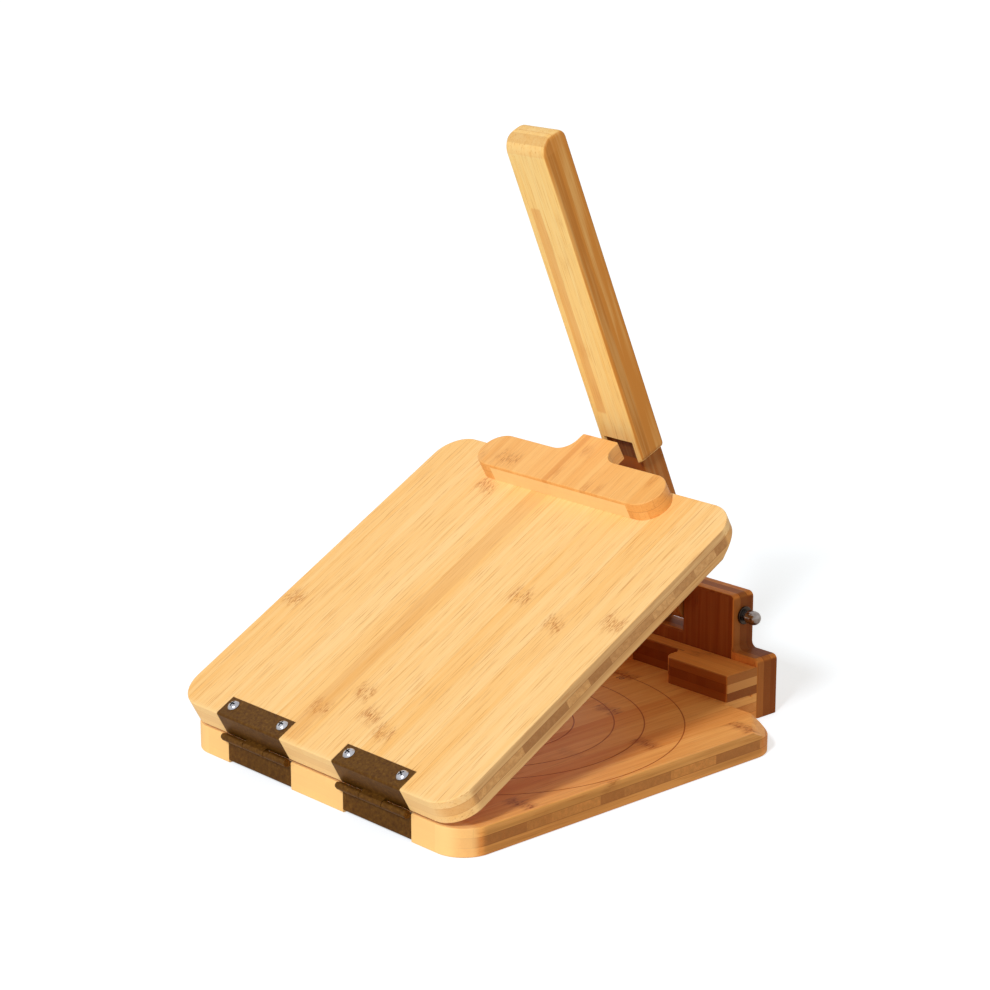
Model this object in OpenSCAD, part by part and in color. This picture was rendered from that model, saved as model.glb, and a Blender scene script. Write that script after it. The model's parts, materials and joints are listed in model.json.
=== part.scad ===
// Hinged bamboo tortilla press with a lever handle.
// Millimetres. X runs along the hinge, Y from the hinge edge to the lever end, Z up.
// The origin is the middle of the underside of the base board, below the middle of the rings.
// The lid and the lever are drawn in the propped pose.

/* [Pose] */
// Opening angle of the lid
lid_open = 28.8; // [0:0.1:120]
// Lean of the lever towards the hinge edge, from upright
lever_lean = 23.3; // [-90:0.1:26]

/* [Boards] */
// Width of the base board and of the lid board
board_w = 261; // [240:1:320]
// Length of the base board from the hinge edge to the stop block
base_len = 271; // [260:1:320]
// Thickness of the base board
base_t = 18; // [15:0.5:24]
// Thickness of the lid board
lid_t = 17.5; // [15:0.5:24]
// Gap between the closed boards
lid_gap = 0.4; // [0.3:0.1:2]
// Gap between the closed lid and the stop block
front_gap = 1; // [0.5:0.1:3]
// Radius of the board corners in plan
corner_r = 21; // [8:1:30]
// Length of the finger bevel along each edge of a front corner
bevel_leg = 27; // [20:1:40]
// Slope of the finger bevels
bevel_slope = 34; // [15:1:45]

/* [Rings] */
// Diameter of the outer size ring
ring_1_d = 254; // [220:0.1:256]
// Diameter of the second size ring
ring_2_d = 203.2; // [180:0.1:215]
// Diameter of the third size ring
ring_3_d = 165.1; // [130:0.1:175]
// Diameter of the inner size ring
ring_4_d = 114.3; // [60:0.1:125]
// Width of an engraved ring line
ring_line = 0.9; // [0.4:0.1:2]
// Depth of an engraved ring line
ring_depth = 0.5; // [0.2:0.1:1.5]

/* [Stop block] */
// Width of the stop block and of the base tab under it
stop_w = 162; // [150:1:190]
// Height of the stop block above the base
stop_h = 17.7; // [14:0.1:26]
// Distance from the front edge of the board to the stop block
stop_gap = 2.3; // [1:0.1:4]
// Wood between the recess and the upright
stop_wall = 11.1; // [10.5:0.1:20]
// Room beside the tongue in the recess
recess_side = 7.5; // [2:0.5:12]
// Room in front of the tongue in the recess
recess_front = 3; // [1:0.5:6]
// Radius of the inner corners of the recess
recess_r = 5.5; // [1:0.5:8]
// Radius of the mouth corners of the recess
mouth_r = 8; // [2:0.5:10]

/* [Upright] */
// Thickness of the upright board
upright_t = 20; // [15:0.5:24]
// How far the lower part of the upright stands past the stop block at each end
low_over = 0; // [0:0.5:5]
// Width of the upper part of the upright
upright_top_w = 118; // [90:1:128]
// Height of the shoulders of the upright above the stop block
shoulder_over = 4.8; // [1:0.1:8]
// Height of the upright above the pivot
upright_over = 14.8; // [10:0.1:20]
// Radius of the corners of the upright
upright_r = 4; // [1:0.5:5]
// Height of the floor of the lever slot above the shoulders
slot_over = 4; // [1:0.5:8]
// Gap on each side of the lever in its slot
slot_gap = 0.4; // [0.3:0.1:1]

/* [Lever] */
// Width of the grip
grip_w = 34.8; // [32:0.2:44]
// Thickness of the grip
grip_t = 21.9; // [18:0.1:25]
// Length of the lever from the pivot to its top
lever_len = 351; // [260:0.5:420]
// Radius of the long edges of the grip
grip_r = 2.5; // [1:0.5:6]
// Radius of the left and right top edges of the grip
top_r = 4; // [3:0.5:12]
// Radius of the rear top edge of the grip
top_rear_r = 11.5; // [3:0.5:12]
// Radius of the front top edge of the grip
top_front_r = 7; // [2:0.5:8]
// Distance from the pivot to the rear face of the grip
pivot_back = 8; // [6.5:0.1:9]
// Width of the neck below the grip
neck_w = 26; // [20:0.5:28]
// Distance from the pivot to the lower end of the grip
grip_start = 116; // [100:1:122]
// Distance from the pivot to the upper end of the rear notch
notch_top = 131.8; // [129:0.2:160]
// Depth of the rear notch
notch_depth = 3.4; // [1:0.1:3.4]
// Distance from the pivot to the upper end of the pressing nose
nose_top = 40; // [34:1:50]
// Length of the slope from the nose to the neck
nose_slope = 22; // [12:1:30]
// Room between the foot of the lever and the floor of its slot
foot_room = 5.3; // [2:0.1:12]

/* [Pivot] */
// Diameter of the pivot rod
rod_d = 6; // [5:0.5:7]
// Radial play of the lever on the rod
pivot_play = 0.05; // [0.02:0.01:0.1]
// Radial play of the rod in the upright
rod_play = 0.05; // [0.02:0.01:0.1]
// Diameter of the washers
washer_d = 12; // [11:0.5:16]
// Thickness of the washers
washer_t = 1.6; // [1:0.1:2.5]
// Width across the flats of the cap nuts
nut_af = 10; // [9.5:0.5:13]
// Height of the hexagon of a cap nut
nut_hex_h = 5.5; // [4:0.5:8]
// Diameter of the dome of a cap nut
nut_dome_d = 9.4; // [8.6:0.2:9.4]
// Length of the straight part of the dome
nut_neck_h = 1.8; // [1.2:0.1:4]
// Length of the rod inside a cap nut
nut_grip = 6.5; // [4:0.5:6.5]

/* [Press block] */
// Width of the press block
block_w = 162; // [140:1:200]
// Depth of the press block behind the lid edge
block_depth = 29; // [24:1:40]
// Thickness of the press block
block_t = 13; // [11:0.5:16]
// Width of the tongue
tongue_w = 32; // [26:1:40]
// Length of the tongue past the lid edge
tongue_len = 17.7; // [13:0.1:22]
// Radius of the hollows beside the tongue
tongue_r = 11.5; // [4:0.5:12]

/* [Hinges] */
// Distance from the side of the board to the middle of a hinge
hinge_inset = 74.5; // [66:0.5:82]
// Width of a hinge leaf
leaf_w = 62.5; // [56:0.5:70]
// Thickness of a hinge leaf
leaf_t = 1.6; // [1:0.1:2.2]
// Length of a leaf strip along its board
strip_len = 15.5; // [14:0.5:24]
// Outer diameter of a knuckle
knuckle_d = 5; // [4.5:0.1:5.4]
// Room between the knuckles and the boards
knuckle_room = 0.5; // [0.3:0.1:1.5]
// Diameter of a hinge pin
pin_d = 2.4; // [1.6:0.1:3]
// Radial play of a pin
pin_play = 0.05; // [0.02:0.01:0.1]
// Gap between neighbouring knuckles
knuckle_gap = 0.3; // [0.3:0.1:1]
// Length of the pin end that stands out of the knuckle
pin_end = 1.5; // [1:0.5:9]
// Diameter of the pin end
pin_end_d = 4.2; // [3.4:0.1:4.5]

/* [Screws and dowels] */
// Diameter of the screw shanks
screw_d = 3.5; // [2.5:0.1:4.2]
// Length of the screw shanks
screw_len = 12; // [8:0.5:13]
// Distance between the screws of a leaf
screw_pitch = 48.5; // [36:0.5:49]
// Distance of the screws from the hinge edge
screw_in = 9.5; // [6.5:0.1:9.8]
// Diameter of the lid screw heads
head_d = 8; // [6:0.1:9]
// Height of the lid screw heads
head_h = 2.4; // [1.5:0.1:3.5]
// Diameter of the base screw heads
low_head_d = 7; // [6:0.1:9]
// Height of the base screw heads
low_head_h = 1; // [0.6:0.1:1.4]
// Room between the base screw heads and the ground
low_head_room = 0.2; // [0.1:0.1:1]
// Width of the cross recess in a screw head
cross_w = 1.1; // [0.6:0.1:1.6]
// Length of the cross recess in a screw head
cross_l = 4.4; // [3:0.1:5]
// Share of a head height that the cross recess takes
cross_share = 0.5; // [0.3:0.05:0.6]
// Diameter of the dowels
dowel_d = 8; // [6:0.5:9]
// Length of a dowel in each of the two pieces that it joins
dowel_in = 9; // [6:0.5:9.5]
// Distance between the dowels of the upright
upright_dowel_span = 90; // [80:1:110]
// Distance between the dowels of the stop block
stop_dowel_pitch = 134; // [130:1:138]
// Distance between the dowels of the press block
block_dowel_pitch = 100; // [60:1:110]
// Radial play of screws and dowels in the wood
wood_play = 0.05; // [0.03:0.01:0.2]
// Room at the end of a blind hole
blind_room = 0.5; // [0.2:0.1:1]
// Radial play of a screw shank in a leaf
leaf_play = 0.15; // [0.05:0.05:0.4]

/* [Hidden] */
$fn = 96;
cut = 1;
half = 0.5;
right_angle = 90;
half_turn = 180;
hex_sides = 6;
half_w = board_w * half;
hinge_pitch = board_w - 2 * hinge_inset;
rear_y = -base_len * half;
front_y = base_len * half;
lid_front = front_y - front_gap;
lid_z = base_t + lid_gap;
lid_top = lid_z + lid_t;
knuckle_r = knuckle_d * half;
knuckle_w = leaf_w / 3;
pin_back = knuckle_r + knuckle_room;
pin_z = base_t + lid_gap * half;
strip_z = low_head_h + low_head_room;
under_notch = strip_z + leaf_t;
recess_half = tongue_w * half + recess_side;
recess_depth = tongue_len - front_gap - stop_gap + recess_front;
stop_depth = recess_depth + stop_wall;
stop_y = front_y + stop_gap;
stop_top = base_t + stop_h;
upright_y = stop_y + stop_depth;
shoulder_h = stop_top + shoulder_over;
upright_low_w = stop_w + 2 * low_over;
slot_floor = shoulder_h + slot_over;
slot_w = neck_w + 2 * slot_gap;
grip_rear = -pivot_back;
grip_front = grip_t - pivot_back;
neck_rear = notch_depth - pivot_back;
cheek = (grip_w - neck_w) * half;
pivot_y = upright_y + upright_t * half;
pivot_h = slot_floor + foot_room + grip_front;
upright_h = pivot_h + upright_over;
nut_x = upright_top_w * half + washer_t;
nut_dome_r = nut_dome_d * half;
rod_half = nut_x + nut_grip;
block_r = block_depth * half;
block_y = lid_front - block_r;
head_ball_r = (head_d * head_d * half * half + head_h * head_h) / (2 * head_h);
dowel_hole_r = dowel_d * half + wood_play;
dowel_hole_h = 2 * (dowel_in + blind_room);
stop_dowel_y = stop_y + stop_depth * half;
low_dowel_z = base_t * half;
high_dowel_z = base_t + stop_h * half;

// Node to draw

bamboo = [0.86, 0.66, 0.40];
bamboo_pale = [0.90, 0.72, 0.46];
bamboo_dark = [0.74, 0.50, 0.27];
bronze = [0.33, 0.25, 0.15];
bright = [0.80, 0.80, 0.82];

// Swings a piece that is drawn on the closed lid to the propped pose
module lid_pose() {
    translate([0, rear_y - pin_back, pin_z])
        rotate([lid_open, 0, 0])
            translate([0, pin_back - rear_y, -pin_z])
                children();
}

// Places a piece that is drawn from the pivot, upright, in the leaning pose
module lever_pose() {
    translate([0, pivot_y, pivot_h])
        rotate([lever_lean, 0, 0])
            children();
}

// Repeats a piece at two places along X
module pair(pitch) {
    for (side = [-1, 1])
        translate([side * pitch * half, 0, 0])
            children();
}

// Repeats a piece on the right and, mirrored, on the left
module both_sides() {
    for (side = [0, 1])
        mirror([side, 0, 0])
            children();
}

// Repeats a piece at both screws of both hinges
module hinge_screw_places() {
    pair(hinge_pitch)
        pair(screw_pitch)
            translate([0, rear_y + screw_in, 0])
                children();
}

// Waste outside a rounded corner whose tip is at the origin and whose wood is at -X -Y
module corner_waste(r, h) {
    translate([-r, -r, -cut])
        difference() {
            cube([r + cut, r + cut, h + 2 * cut]);
            translate([0, 0, -cut])
                cylinder(r = r, h = h + 4 * cut);
        }
}

// Plain board with four rounded corners between the hinge edge and its front edge
module board(front, thick) {
    difference() {
        translate([-half_w, rear_y, 0])
            cube([board_w, front - rear_y, thick]);
        both_sides() {
            translate([half_w, front, 0])
                corner_waste(corner_r, thick);
            translate([half_w, rear_y, 0])
                mirror([0, 1, 0])
                    corner_waste(corner_r, thick);
        }
    }
}

// Waste above the sloping finger bevels of the front corners of a board
module bevel_waste(front) {
    both_sides()
        translate([half_w - bevel_leg * half, front - bevel_leg * half, 0])
            rotate([0, 0, right_angle * half])
                rotate([0, bevel_slope, 0])
                    translate([0, -bevel_leg * 2, 0])
                        cube([bevel_leg * 2, bevel_leg * 4, bevel_leg]);
}

// Engraved line of one size ring
module ring_groove(d) {
    translate([0, 0, base_t - ring_depth])
        rotate_extrude()
            translate([(d - ring_line) * half, 0])
                square([ring_line, ring_depth + cut]);
}

// Holes across the joint between the upright and the pieces behind it
module upright_dowel_holes(z) {
    pair(upright_dowel_span)
        translate([0, upright_y - dowel_hole_h * half, z])
            rotate([-right_angle, 0, 0])
                cylinder(r = dowel_hole_r, h = dowel_hole_h);
}

// Holes across the joint between the base and the stop block
module stop_dowel_holes() {
    pair(stop_dowel_pitch)
        translate([0, stop_dowel_y, base_t - dowel_hole_h * half])
            cylinder(r = dowel_hole_r, h = dowel_hole_h);
}

// Holes across the joint between the lid and the press block
module block_dowel_holes() {
    pair(block_dowel_pitch)
        translate([0, block_y, lid_top - dowel_hole_h * half])
            cylinder(r = dowel_hole_r, h = dowel_hole_h);
}

// Seats of the leaf plates in the hinge edge of a board
module plate_seats(z, thick) {
    pair(hinge_pitch)
        translate([-leaf_w * half, rear_y - cut, z - cut])
            cube([leaf_w, leaf_t + cut, thick + 2 * cut]);
}

// Seats of the leaf strips in the face of a board
module strip_seats(z, depth) {
    pair(hinge_pitch)
        translate([-leaf_w * half, rear_y - cut, z])
            cube([leaf_w, strip_len + cut, depth]);
}

module base_board() {
    color(bamboo)
        difference() {
            union() {
                board(front_y, base_t);
                translate([-stop_w * half, front_y - cut, 0])
                    cube([stop_w, stop_gap + stop_depth + cut, base_t]);
            }
            translate([0, 0, base_t])
                bevel_waste(front_y);
            ring_groove(ring_1_d);
            ring_groove(ring_2_d);
            ring_groove(ring_3_d);
            ring_groove(ring_4_d);
            plate_seats(0, base_t);
            strip_seats(-cut, under_notch + cut);
            hinge_screw_places()
                cylinder(d = screw_d + 2 * wood_play, h = strip_z + screw_len + blind_room);
            stop_dowel_holes();
            upright_dowel_holes(low_dowel_z);
        }
}

// Recess for the tongue, open at the rear, with rounded mouth and inner corners
module tongue_recess() {
    difference() {
        union() {
            translate([-recess_half, -cut, 0])
                cube([2 * recess_half, recess_depth + cut, stop_h + 2 * cut]);
            both_sides()
                translate([recess_half - cut, -cut, 0])
                    cube([mouth_r + cut, mouth_r + cut, stop_h + 2 * cut]);
        }
        both_sides() {
            translate([recess_half + mouth_r, mouth_r, -cut])
                cylinder(r = mouth_r, h = stop_h + 4 * cut);
            translate([recess_half, recess_depth, 0])
                corner_waste(recess_r, stop_h + 2 * cut);
        }
    }
}

module stop_block() {
    color(bamboo_dark)
        difference() {
            translate([-stop_w * half, stop_y, base_t])
                cube([stop_w, stop_depth, stop_h]);
            translate([0, stop_y, base_t - cut])
                tongue_recess();
            stop_dowel_holes();
            upright_dowel_holes(high_dowel_z);
        }
}

module stop_block_dowels() {
    color(bamboo_pale)
        pair(stop_dowel_pitch)
            translate([0, stop_dowel_y, base_t - dowel_in])
                cylinder(d = dowel_d, h = 2 * dowel_in);
}

// Face of the upright, drawn with the outline in X and Z, from its rear face
module upright_slab(w, z0, z1) {
    translate([-w * half, upright_y, z0])
        cube([w, upright_t, z1 - z0]);
}

// Waste outside a rounded corner of the upright, tip at the given place
module upright_corner(x, z, up) {
    for (side = [0, 1])
        mirror([side, 0, 0])
            translate([x, upright_y, z])
                rotate([right_angle, 0, 0])
                    mirror([0, 1 - up, 0])
                        translate([0, 0, -upright_t])
                            corner_waste(upright_r, upright_t);
}

module upright() {
    color(bamboo_dark)
        difference() {
            union() {
                difference() {
                    upright_slab(upright_low_w, 0, shoulder_h);
                    upright_corner(upright_low_w * half, shoulder_h, 1);
                }
                upright_slab(upright_top_w, shoulder_h - cut, upright_h);
                difference() {
                    upright_slab(upright_top_w + 2 * upright_r, shoulder_h - cut, shoulder_h + upright_r);
                    for (side = [-1, 1])
                        translate([side * (upright_top_w * half + upright_r), upright_y - cut,
                            shoulder_h + upright_r])
                            rotate([-right_angle, 0, 0])
                                cylinder(r = upright_r, h = upright_t + 2 * cut);
                }
            }
            upright_corner(upright_top_w * half, upright_h, 1);
            translate([-slot_w * half, upright_y - cut, slot_floor])
                cube([slot_w, upright_t + 2 * cut, upright_h]);
            translate([-upright_top_w, pivot_y, pivot_h])
                rotate([0, right_angle, 0])
                    cylinder(d = rod_d + 2 * rod_play, h = 2 * upright_top_w);
            upright_dowel_holes(low_dowel_z);
            upright_dowel_holes(high_dowel_z);
        }
}

module upright_dowels() {
    color(bamboo_pale)
        for (z = [low_dowel_z, high_dowel_z])
            pair(upright_dowel_span)
                translate([0, upright_y - dowel_in, z])
                    rotate([-right_angle, 0, 0])
                        cylinder(d = dowel_d, h = 2 * dowel_in);
}

module pivot_rod() {
    color(bright)
        translate([-rod_half, pivot_y, pivot_h])
            rotate([0, right_angle, 0])
                cylinder(d = rod_d, h = 2 * rod_half);
}

module pivot_washers() {
    color(bright)
        for (side = [0, 1])
            mirror([side, 0, 0])
                translate([upright_top_w * half, pivot_y, pivot_h])
                    rotate([0, right_angle, 0])
                        difference() {
                            cylinder(d = washer_d, h = washer_t);
                            translate([0, 0, -cut])
                                cylinder(d = rod_d + 2 * rod_play, h = washer_t + 2 * cut);
                        }
}

module cap_nuts() {
    color(bright)
        for (side = [0, 1])
            mirror([side, 0, 0])
                translate([nut_x, pivot_y, pivot_h])
                    rotate([0, right_angle, 0])
                        difference() {
                            union() {
                                cylinder(d = nut_af / cos(half_turn / hex_sides), h = nut_hex_h,
                                    $fn = hex_sides);
                                cylinder(r = nut_dome_r, h = nut_hex_h + nut_neck_h);
                                translate([0, 0, nut_hex_h + nut_neck_h])
                                    sphere(r = nut_dome_r);
                            }
                            translate([0, 0, -cut])
                                cylinder(d = rod_d + 2 * rod_play, h = nut_grip + blind_room + cut);
                        }
}

// Section of the grip with rounded long edges
module grip_section() {
    for (side = [-1, 1])
        for (y = [grip_rear + grip_r, grip_front - grip_r])
            translate([side * (grip_w * half - grip_r), y])
                circle(r = grip_r);
    translate([-grip_w * half + grip_r, grip_rear])
        square([grip_w - 2 * grip_r, grip_t]);
    translate([-grip_w * half, grip_rear + grip_r])
        square([grip_w, grip_t - 2 * grip_r]);
}

// Side outline of the neck with the foot round the pivot and the pressing nose
module neck_outline() {
    circle(r = grip_front);
    polygon([[grip_front, 0], [grip_front, notch_top], [neck_rear, notch_top],
        [neck_rear, nose_top + nose_slope], [-grip_front, nose_top], [-grip_front, 0]]);
}

module lever_handle() {
    color(bamboo)
        lever_pose()
            difference() {
                union() {
                    difference() {
                        translate([0, 0, grip_start])
                            linear_extrude(lever_len - grip_start)
                                grip_section();
                        for (side = [0, 1])
                            mirror([side, 0, 0]) {
                                translate([grip_w * half, grip_rear - cut, lever_len])
                                    rotate([-right_angle, 0, 0])
                                        mirror([0, 1, 0])
                                            corner_waste(top_r, grip_t + 2 * cut);
                                translate([grip_w * half, grip_rear - cut, grip_start])
                                    rotate([-right_angle, 0, 0])
                                        corner_waste(cheek, grip_t + 2 * cut);
                            }
                        translate([-grip_w * half - cut, grip_front, lever_len])
                            rotate([right_angle, 0, right_angle])
                                corner_waste(top_front_r, grip_w + 2 * cut);
                        translate([-grip_w * half - cut, grip_rear, lever_len])
                            rotate([right_angle, 0, right_angle])
                                mirror([1, 0, 0])
                                    corner_waste(top_rear_r, grip_w + 2 * cut);
                        translate([-neck_w * half, grip_rear - cut, grip_start - cut])
                            cube([neck_w, grip_t + 2 * cut, notch_top - grip_start + cut]);
                    }
                    translate([-neck_w * half, 0, 0])
                        rotate([right_angle, 0, right_angle])
                            linear_extrude(neck_w)
                                neck_outline();
                }
                translate([-grip_w, 0, 0])
                    rotate([0, right_angle, 0])
                        cylinder(d = rod_d + 2 * pivot_play, h = 2 * grip_w);
            }
}

module lid_board() {
    color(bamboo_pale)
        lid_pose()
            difference() {
                translate([0, 0, lid_z])
                    board(lid_front, lid_t);
                translate([0, 0, lid_z])
                    mirror([0, 0, 1])
                        bevel_waste(lid_front);
                plate_seats(lid_z, lid_t);
                strip_seats(lid_top - leaf_t, leaf_t + cut);
                hinge_screw_places()
                    translate([0, 0, lid_top - screw_len - blind_room])
                        cylinder(d = screw_d + 2 * wood_play, h = screw_len + blind_room);
                block_dowel_holes();
            }
}

// Plan of the press block: round ends and a tongue with hollows beside it
module press_block_plan() {
    difference() {
        union() {
            translate([-block_w * half + block_r, lid_front - block_depth])
                square([block_w - 2 * block_r, block_depth]);
            pair(block_w - 2 * block_r)
                translate([0, block_y])
                    circle(r = block_r);
            translate([-tongue_w * half, lid_front - cut])
                square([tongue_w, tongue_len + cut]);
            translate([-tongue_w * half - tongue_r, lid_front - cut])
                square([tongue_w + 2 * tongue_r, tongue_r + cut]);
        }
        pair(tongue_w + 2 * tongue_r)
            translate([0, lid_front + tongue_r])
                circle(r = tongue_r);
    }
}

module press_block() {
    color(bamboo)
        lid_pose()
            difference() {
                translate([0, 0, lid_top])
                    linear_extrude(block_t)
                        press_block_plan();
                block_dowel_holes();
            }
}

module press_block_dowels() {
    color(bamboo_dark)
        lid_pose()
            pair(block_dowel_pitch)
                translate([0, block_y, lid_top - dowel_in])
                    cylinder(d = dowel_d, h = 2 * dowel_in);
}

// Knuckle tube of a hinge, from its left end
module knuckle(width) {
    translate([0, -pin_back, pin_z])
        rotate([0, right_angle, 0])
            cylinder(r = knuckle_r, h = width);
}

// Bore of the pin through a leaf
module pin_bore() {
    translate([-leaf_w, -pin_back, pin_z])
        rotate([0, right_angle, 0])
            cylinder(d = pin_d + 2 * pin_play, h = 2 * leaf_w);
}

// Screw holes through a leaf strip
module strip_holes(z) {
    pair(screw_pitch)
        translate([0, screw_in, z - cut])
            cylinder(d = screw_d + 2 * leaf_play, h = leaf_t + 2 * cut);
}

// Leaf on the lid: strip on top, plate down the edge and the middle knuckle
module upper_leaf() {
    difference() {
        union() {
            translate([-leaf_w * half, 0, lid_top - leaf_t])
                cube([leaf_w, strip_len, leaf_t]);
            translate([-leaf_w * half, 0, lid_z])
                cube([leaf_w, leaf_t, lid_t]);
            translate([-knuckle_w * half + knuckle_gap, 0, 0])
                knuckle(knuckle_w - 2 * knuckle_gap);
            translate([-knuckle_w * half + knuckle_gap, -pin_back, lid_z])
                cube([knuckle_w - 2 * knuckle_gap, pin_back + leaf_t, pin_z + knuckle_r - lid_z]);
        }
        pin_bore();
        strip_holes(lid_top - leaf_t);
    }
}

// Leaf on the base: plate on the edge, strip underneath and the two outer knuckles
module lower_leaf() {
    difference() {
        union() {
            translate([-leaf_w * half, 0, strip_z])
                cube([leaf_w, strip_len, leaf_t]);
            translate([-leaf_w * half, 0, strip_z])
                cube([leaf_w, leaf_t, base_t - strip_z]);
            for (side = [0, 1])
                mirror([side, 0, 0]) {
                    translate([knuckle_w * half, 0, 0])
                        knuckle(knuckle_w);
                    translate([knuckle_w * half, -pin_back, pin_z - knuckle_r])
                        cube([knuckle_w, pin_back + leaf_t, base_t - pin_z + knuckle_r]);
                }
        }
        pin_bore();
        strip_holes(strip_z);
    }
}

// Pin of a hinge with the thicker end that stands out of the left knuckle
module hinge_pin() {
    translate([-leaf_w * half, -pin_back, pin_z])
        rotate([0, right_angle, 0]) {
            cylinder(d = pin_d, h = leaf_w);
            translate([0, 0, -pin_end])
                cylinder(d = pin_end_d, h = pin_end);
        }
}

// Places a piece of the left hinge on the hinge edge
module left_hinge() {
    translate([-hinge_pitch * half, rear_y, 0])
        children();
}

// Places a piece of the right hinge on the hinge edge
module right_hinge() {
    translate([hinge_pitch * half, rear_y, 0])
        children();
}

module hinge_upper_leaf_left() {
    color(bronze)
        lid_pose()
            left_hinge()
                upper_leaf();
}

module hinge_upper_leaf_right() {
    color(bronze)
        lid_pose()
            right_hinge()
                upper_leaf();
}

module hinge_lower_leaf_left() {
    color(bronze)
        left_hinge()
            lower_leaf();
}

module hinge_lower_leaf_right() {
    color(bronze)
        right_hinge()
            lower_leaf();
}

module hinge_pin_left() {
    color(bronze)
        left_hinge()
            hinge_pin();
}

module hinge_pin_right() {
    color(bronze)
        right_hinge()
            hinge_pin();
}

// Cross recess of a screw head, from the top of the head down
module cross_recess(depth) {
    for (turn = [0, right_angle])
        rotate([0, 0, turn])
            translate([-cross_l * half, -cross_w * half, -depth])
                cube([cross_l, cross_w, depth + cut]);
}

module lid_hinge_screws() {
    color(bright)
        lid_pose()
            hinge_screw_places()
                translate([0, 0, lid_top])
                    difference() {
                        union() {
                            intersection() {
                                cylinder(d = head_d, h = head_h);
                                translate([0, 0, head_h - head_ball_r])
                                    sphere(r = head_ball_r);
                            }
                            translate([0, 0, -screw_len])
                                cylinder(d = screw_d, h = screw_len + head_h * half * half);
                        }
                        translate([0, 0, head_h])
                            cross_recess(head_h * cross_share);
                    }
}

module base_hinge_screws() {
    color(bright)
        hinge_screw_places()
            translate([0, 0, strip_z])
                difference() {
                    union() {
                        translate([0, 0, -low_head_h])
                            cylinder(d = low_head_d, h = low_head_h);
                        cylinder(d = screw_d, h = screw_len);
                    }
                    translate([0, 0, -low_head_h])
                        mirror([0, 0, 1])
                            cross_recess(low_head_h * cross_share);
                }
}

base_board();
stop_block();
stop_block_dowels();
upright();
upright_dowels();
pivot_rod();
pivot_washers();
cap_nuts();
lever_handle();
lid_board();
press_block();
press_block_dowels();
hinge_upper_leaf_left();
hinge_upper_leaf_right();
hinge_lower_leaf_left();
hinge_lower_leaf_right();
hinge_pin_left();
hinge_pin_right();
lid_hinge_screws();
base_hinge_screws();
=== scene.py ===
# %% [markdown]
# # A bamboo tortilla press
# A square lid is hinged to a square base. A press block on the lid carries a tongue, and a long lever
# turns in a slotted upright at the other end of the base. The solids come from the CAD frame and hold
# the sizes. This lesson gives every piece its eased edges and its finish: laminated bamboo, bronzed
# hinges and bright screws. First the stage is emptied and the frame is loaded.

# %% Load the frame
import json
import math

import bmesh
import bpy
from mathutils import Matrix, Vector

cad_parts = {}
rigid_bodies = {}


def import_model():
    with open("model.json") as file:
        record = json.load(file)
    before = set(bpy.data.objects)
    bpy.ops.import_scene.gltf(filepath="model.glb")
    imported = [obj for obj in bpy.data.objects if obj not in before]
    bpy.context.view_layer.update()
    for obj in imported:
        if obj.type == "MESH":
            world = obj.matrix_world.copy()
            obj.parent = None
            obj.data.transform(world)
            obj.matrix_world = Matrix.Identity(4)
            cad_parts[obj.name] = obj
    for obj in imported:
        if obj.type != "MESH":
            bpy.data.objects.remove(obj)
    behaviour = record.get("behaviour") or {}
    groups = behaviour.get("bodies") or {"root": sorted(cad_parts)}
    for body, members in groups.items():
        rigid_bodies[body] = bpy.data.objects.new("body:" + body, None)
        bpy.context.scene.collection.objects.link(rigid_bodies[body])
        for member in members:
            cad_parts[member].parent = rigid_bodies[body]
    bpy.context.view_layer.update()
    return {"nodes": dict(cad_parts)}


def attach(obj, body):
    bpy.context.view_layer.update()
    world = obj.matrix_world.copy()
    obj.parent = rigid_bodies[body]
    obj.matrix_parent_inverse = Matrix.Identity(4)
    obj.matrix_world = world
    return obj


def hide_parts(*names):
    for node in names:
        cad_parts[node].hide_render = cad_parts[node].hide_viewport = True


for leftover in list(bpy.data.objects):
    bpy.data.objects.remove(leftover)

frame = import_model()
nodes = frame["nodes"]
scene = bpy.context.scene

# %% [markdown]
# ## The sizes that the pieces share
# All lengths are metres in the frame of the CAD part: X along the hinge, Y towards the lever, Z up, with
# the origin below the middle of the rings. The lid is easiest to draw shut and the lever upright, so two
# matrices carry them from there to the propped pose. Three more turn an outline or a turned shape.

# %% Shared sizes and frames
MM = 0.001
HALF_W = 130.5 * MM
REAR, FRONT = -135.5 * MM, 135.5 * MM
LID_FRONT = FRONT - 1 * MM
BASE_T = 18 * MM
LID_LOW, LID_TOP = 18.4 * MM, 35.9 * MM
CORNER_R = 21 * MM
TAB_HALF, TAB_FRONT = 81 * MM, 166.3 * MM
RING_RADII = [127 * MM, 101.6 * MM, 82.55 * MM, 57.15 * MM]
HINGE_X, LEAF_HALF, LEAF_T, STRIP_LEN = 56 * MM, 31.25 * MM, 1.6 * MM, 15.5 * MM
LOW_STRIP = 1.2 * MM
ROD_BORE_R = 3.05 * MM
LID_ANGLE, LEVER_ANGLE = math.radians(28.8), math.radians(23.3)
PIN = Vector((0, REAR - 3 * MM, 18.2 * MM))
PIVOT = Vector((0, 176.3 * MM, 63.7 * MM))
SHUT_LID = Matrix.Translation(PIN) @ Matrix.Rotation(LID_ANGLE, 4, "X") @ Matrix.Translation(-PIN)
ON_PIVOT = Matrix.Translation(PIVOT)
UPRIGHT_LEVER = ON_PIVOT @ Matrix.Rotation(LEVER_ANGLE, 4, "X")
STILL = Matrix.Identity(4)
ALONG_X = Matrix.Rotation(math.pi / 2, 4, "Y")
OUTLINE_IN_XZ = Matrix(((1, 0, 0, 0), (0, 0, 1, 0), (0, 1, 0, 0), (0, 0, 0, 1)))
OUTLINE_IN_YZ = Matrix(((0, 0, 1, 0), (1, 0, 0, 0), (0, 1, 0, 0), (0, 0, 0, 1)))

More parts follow.
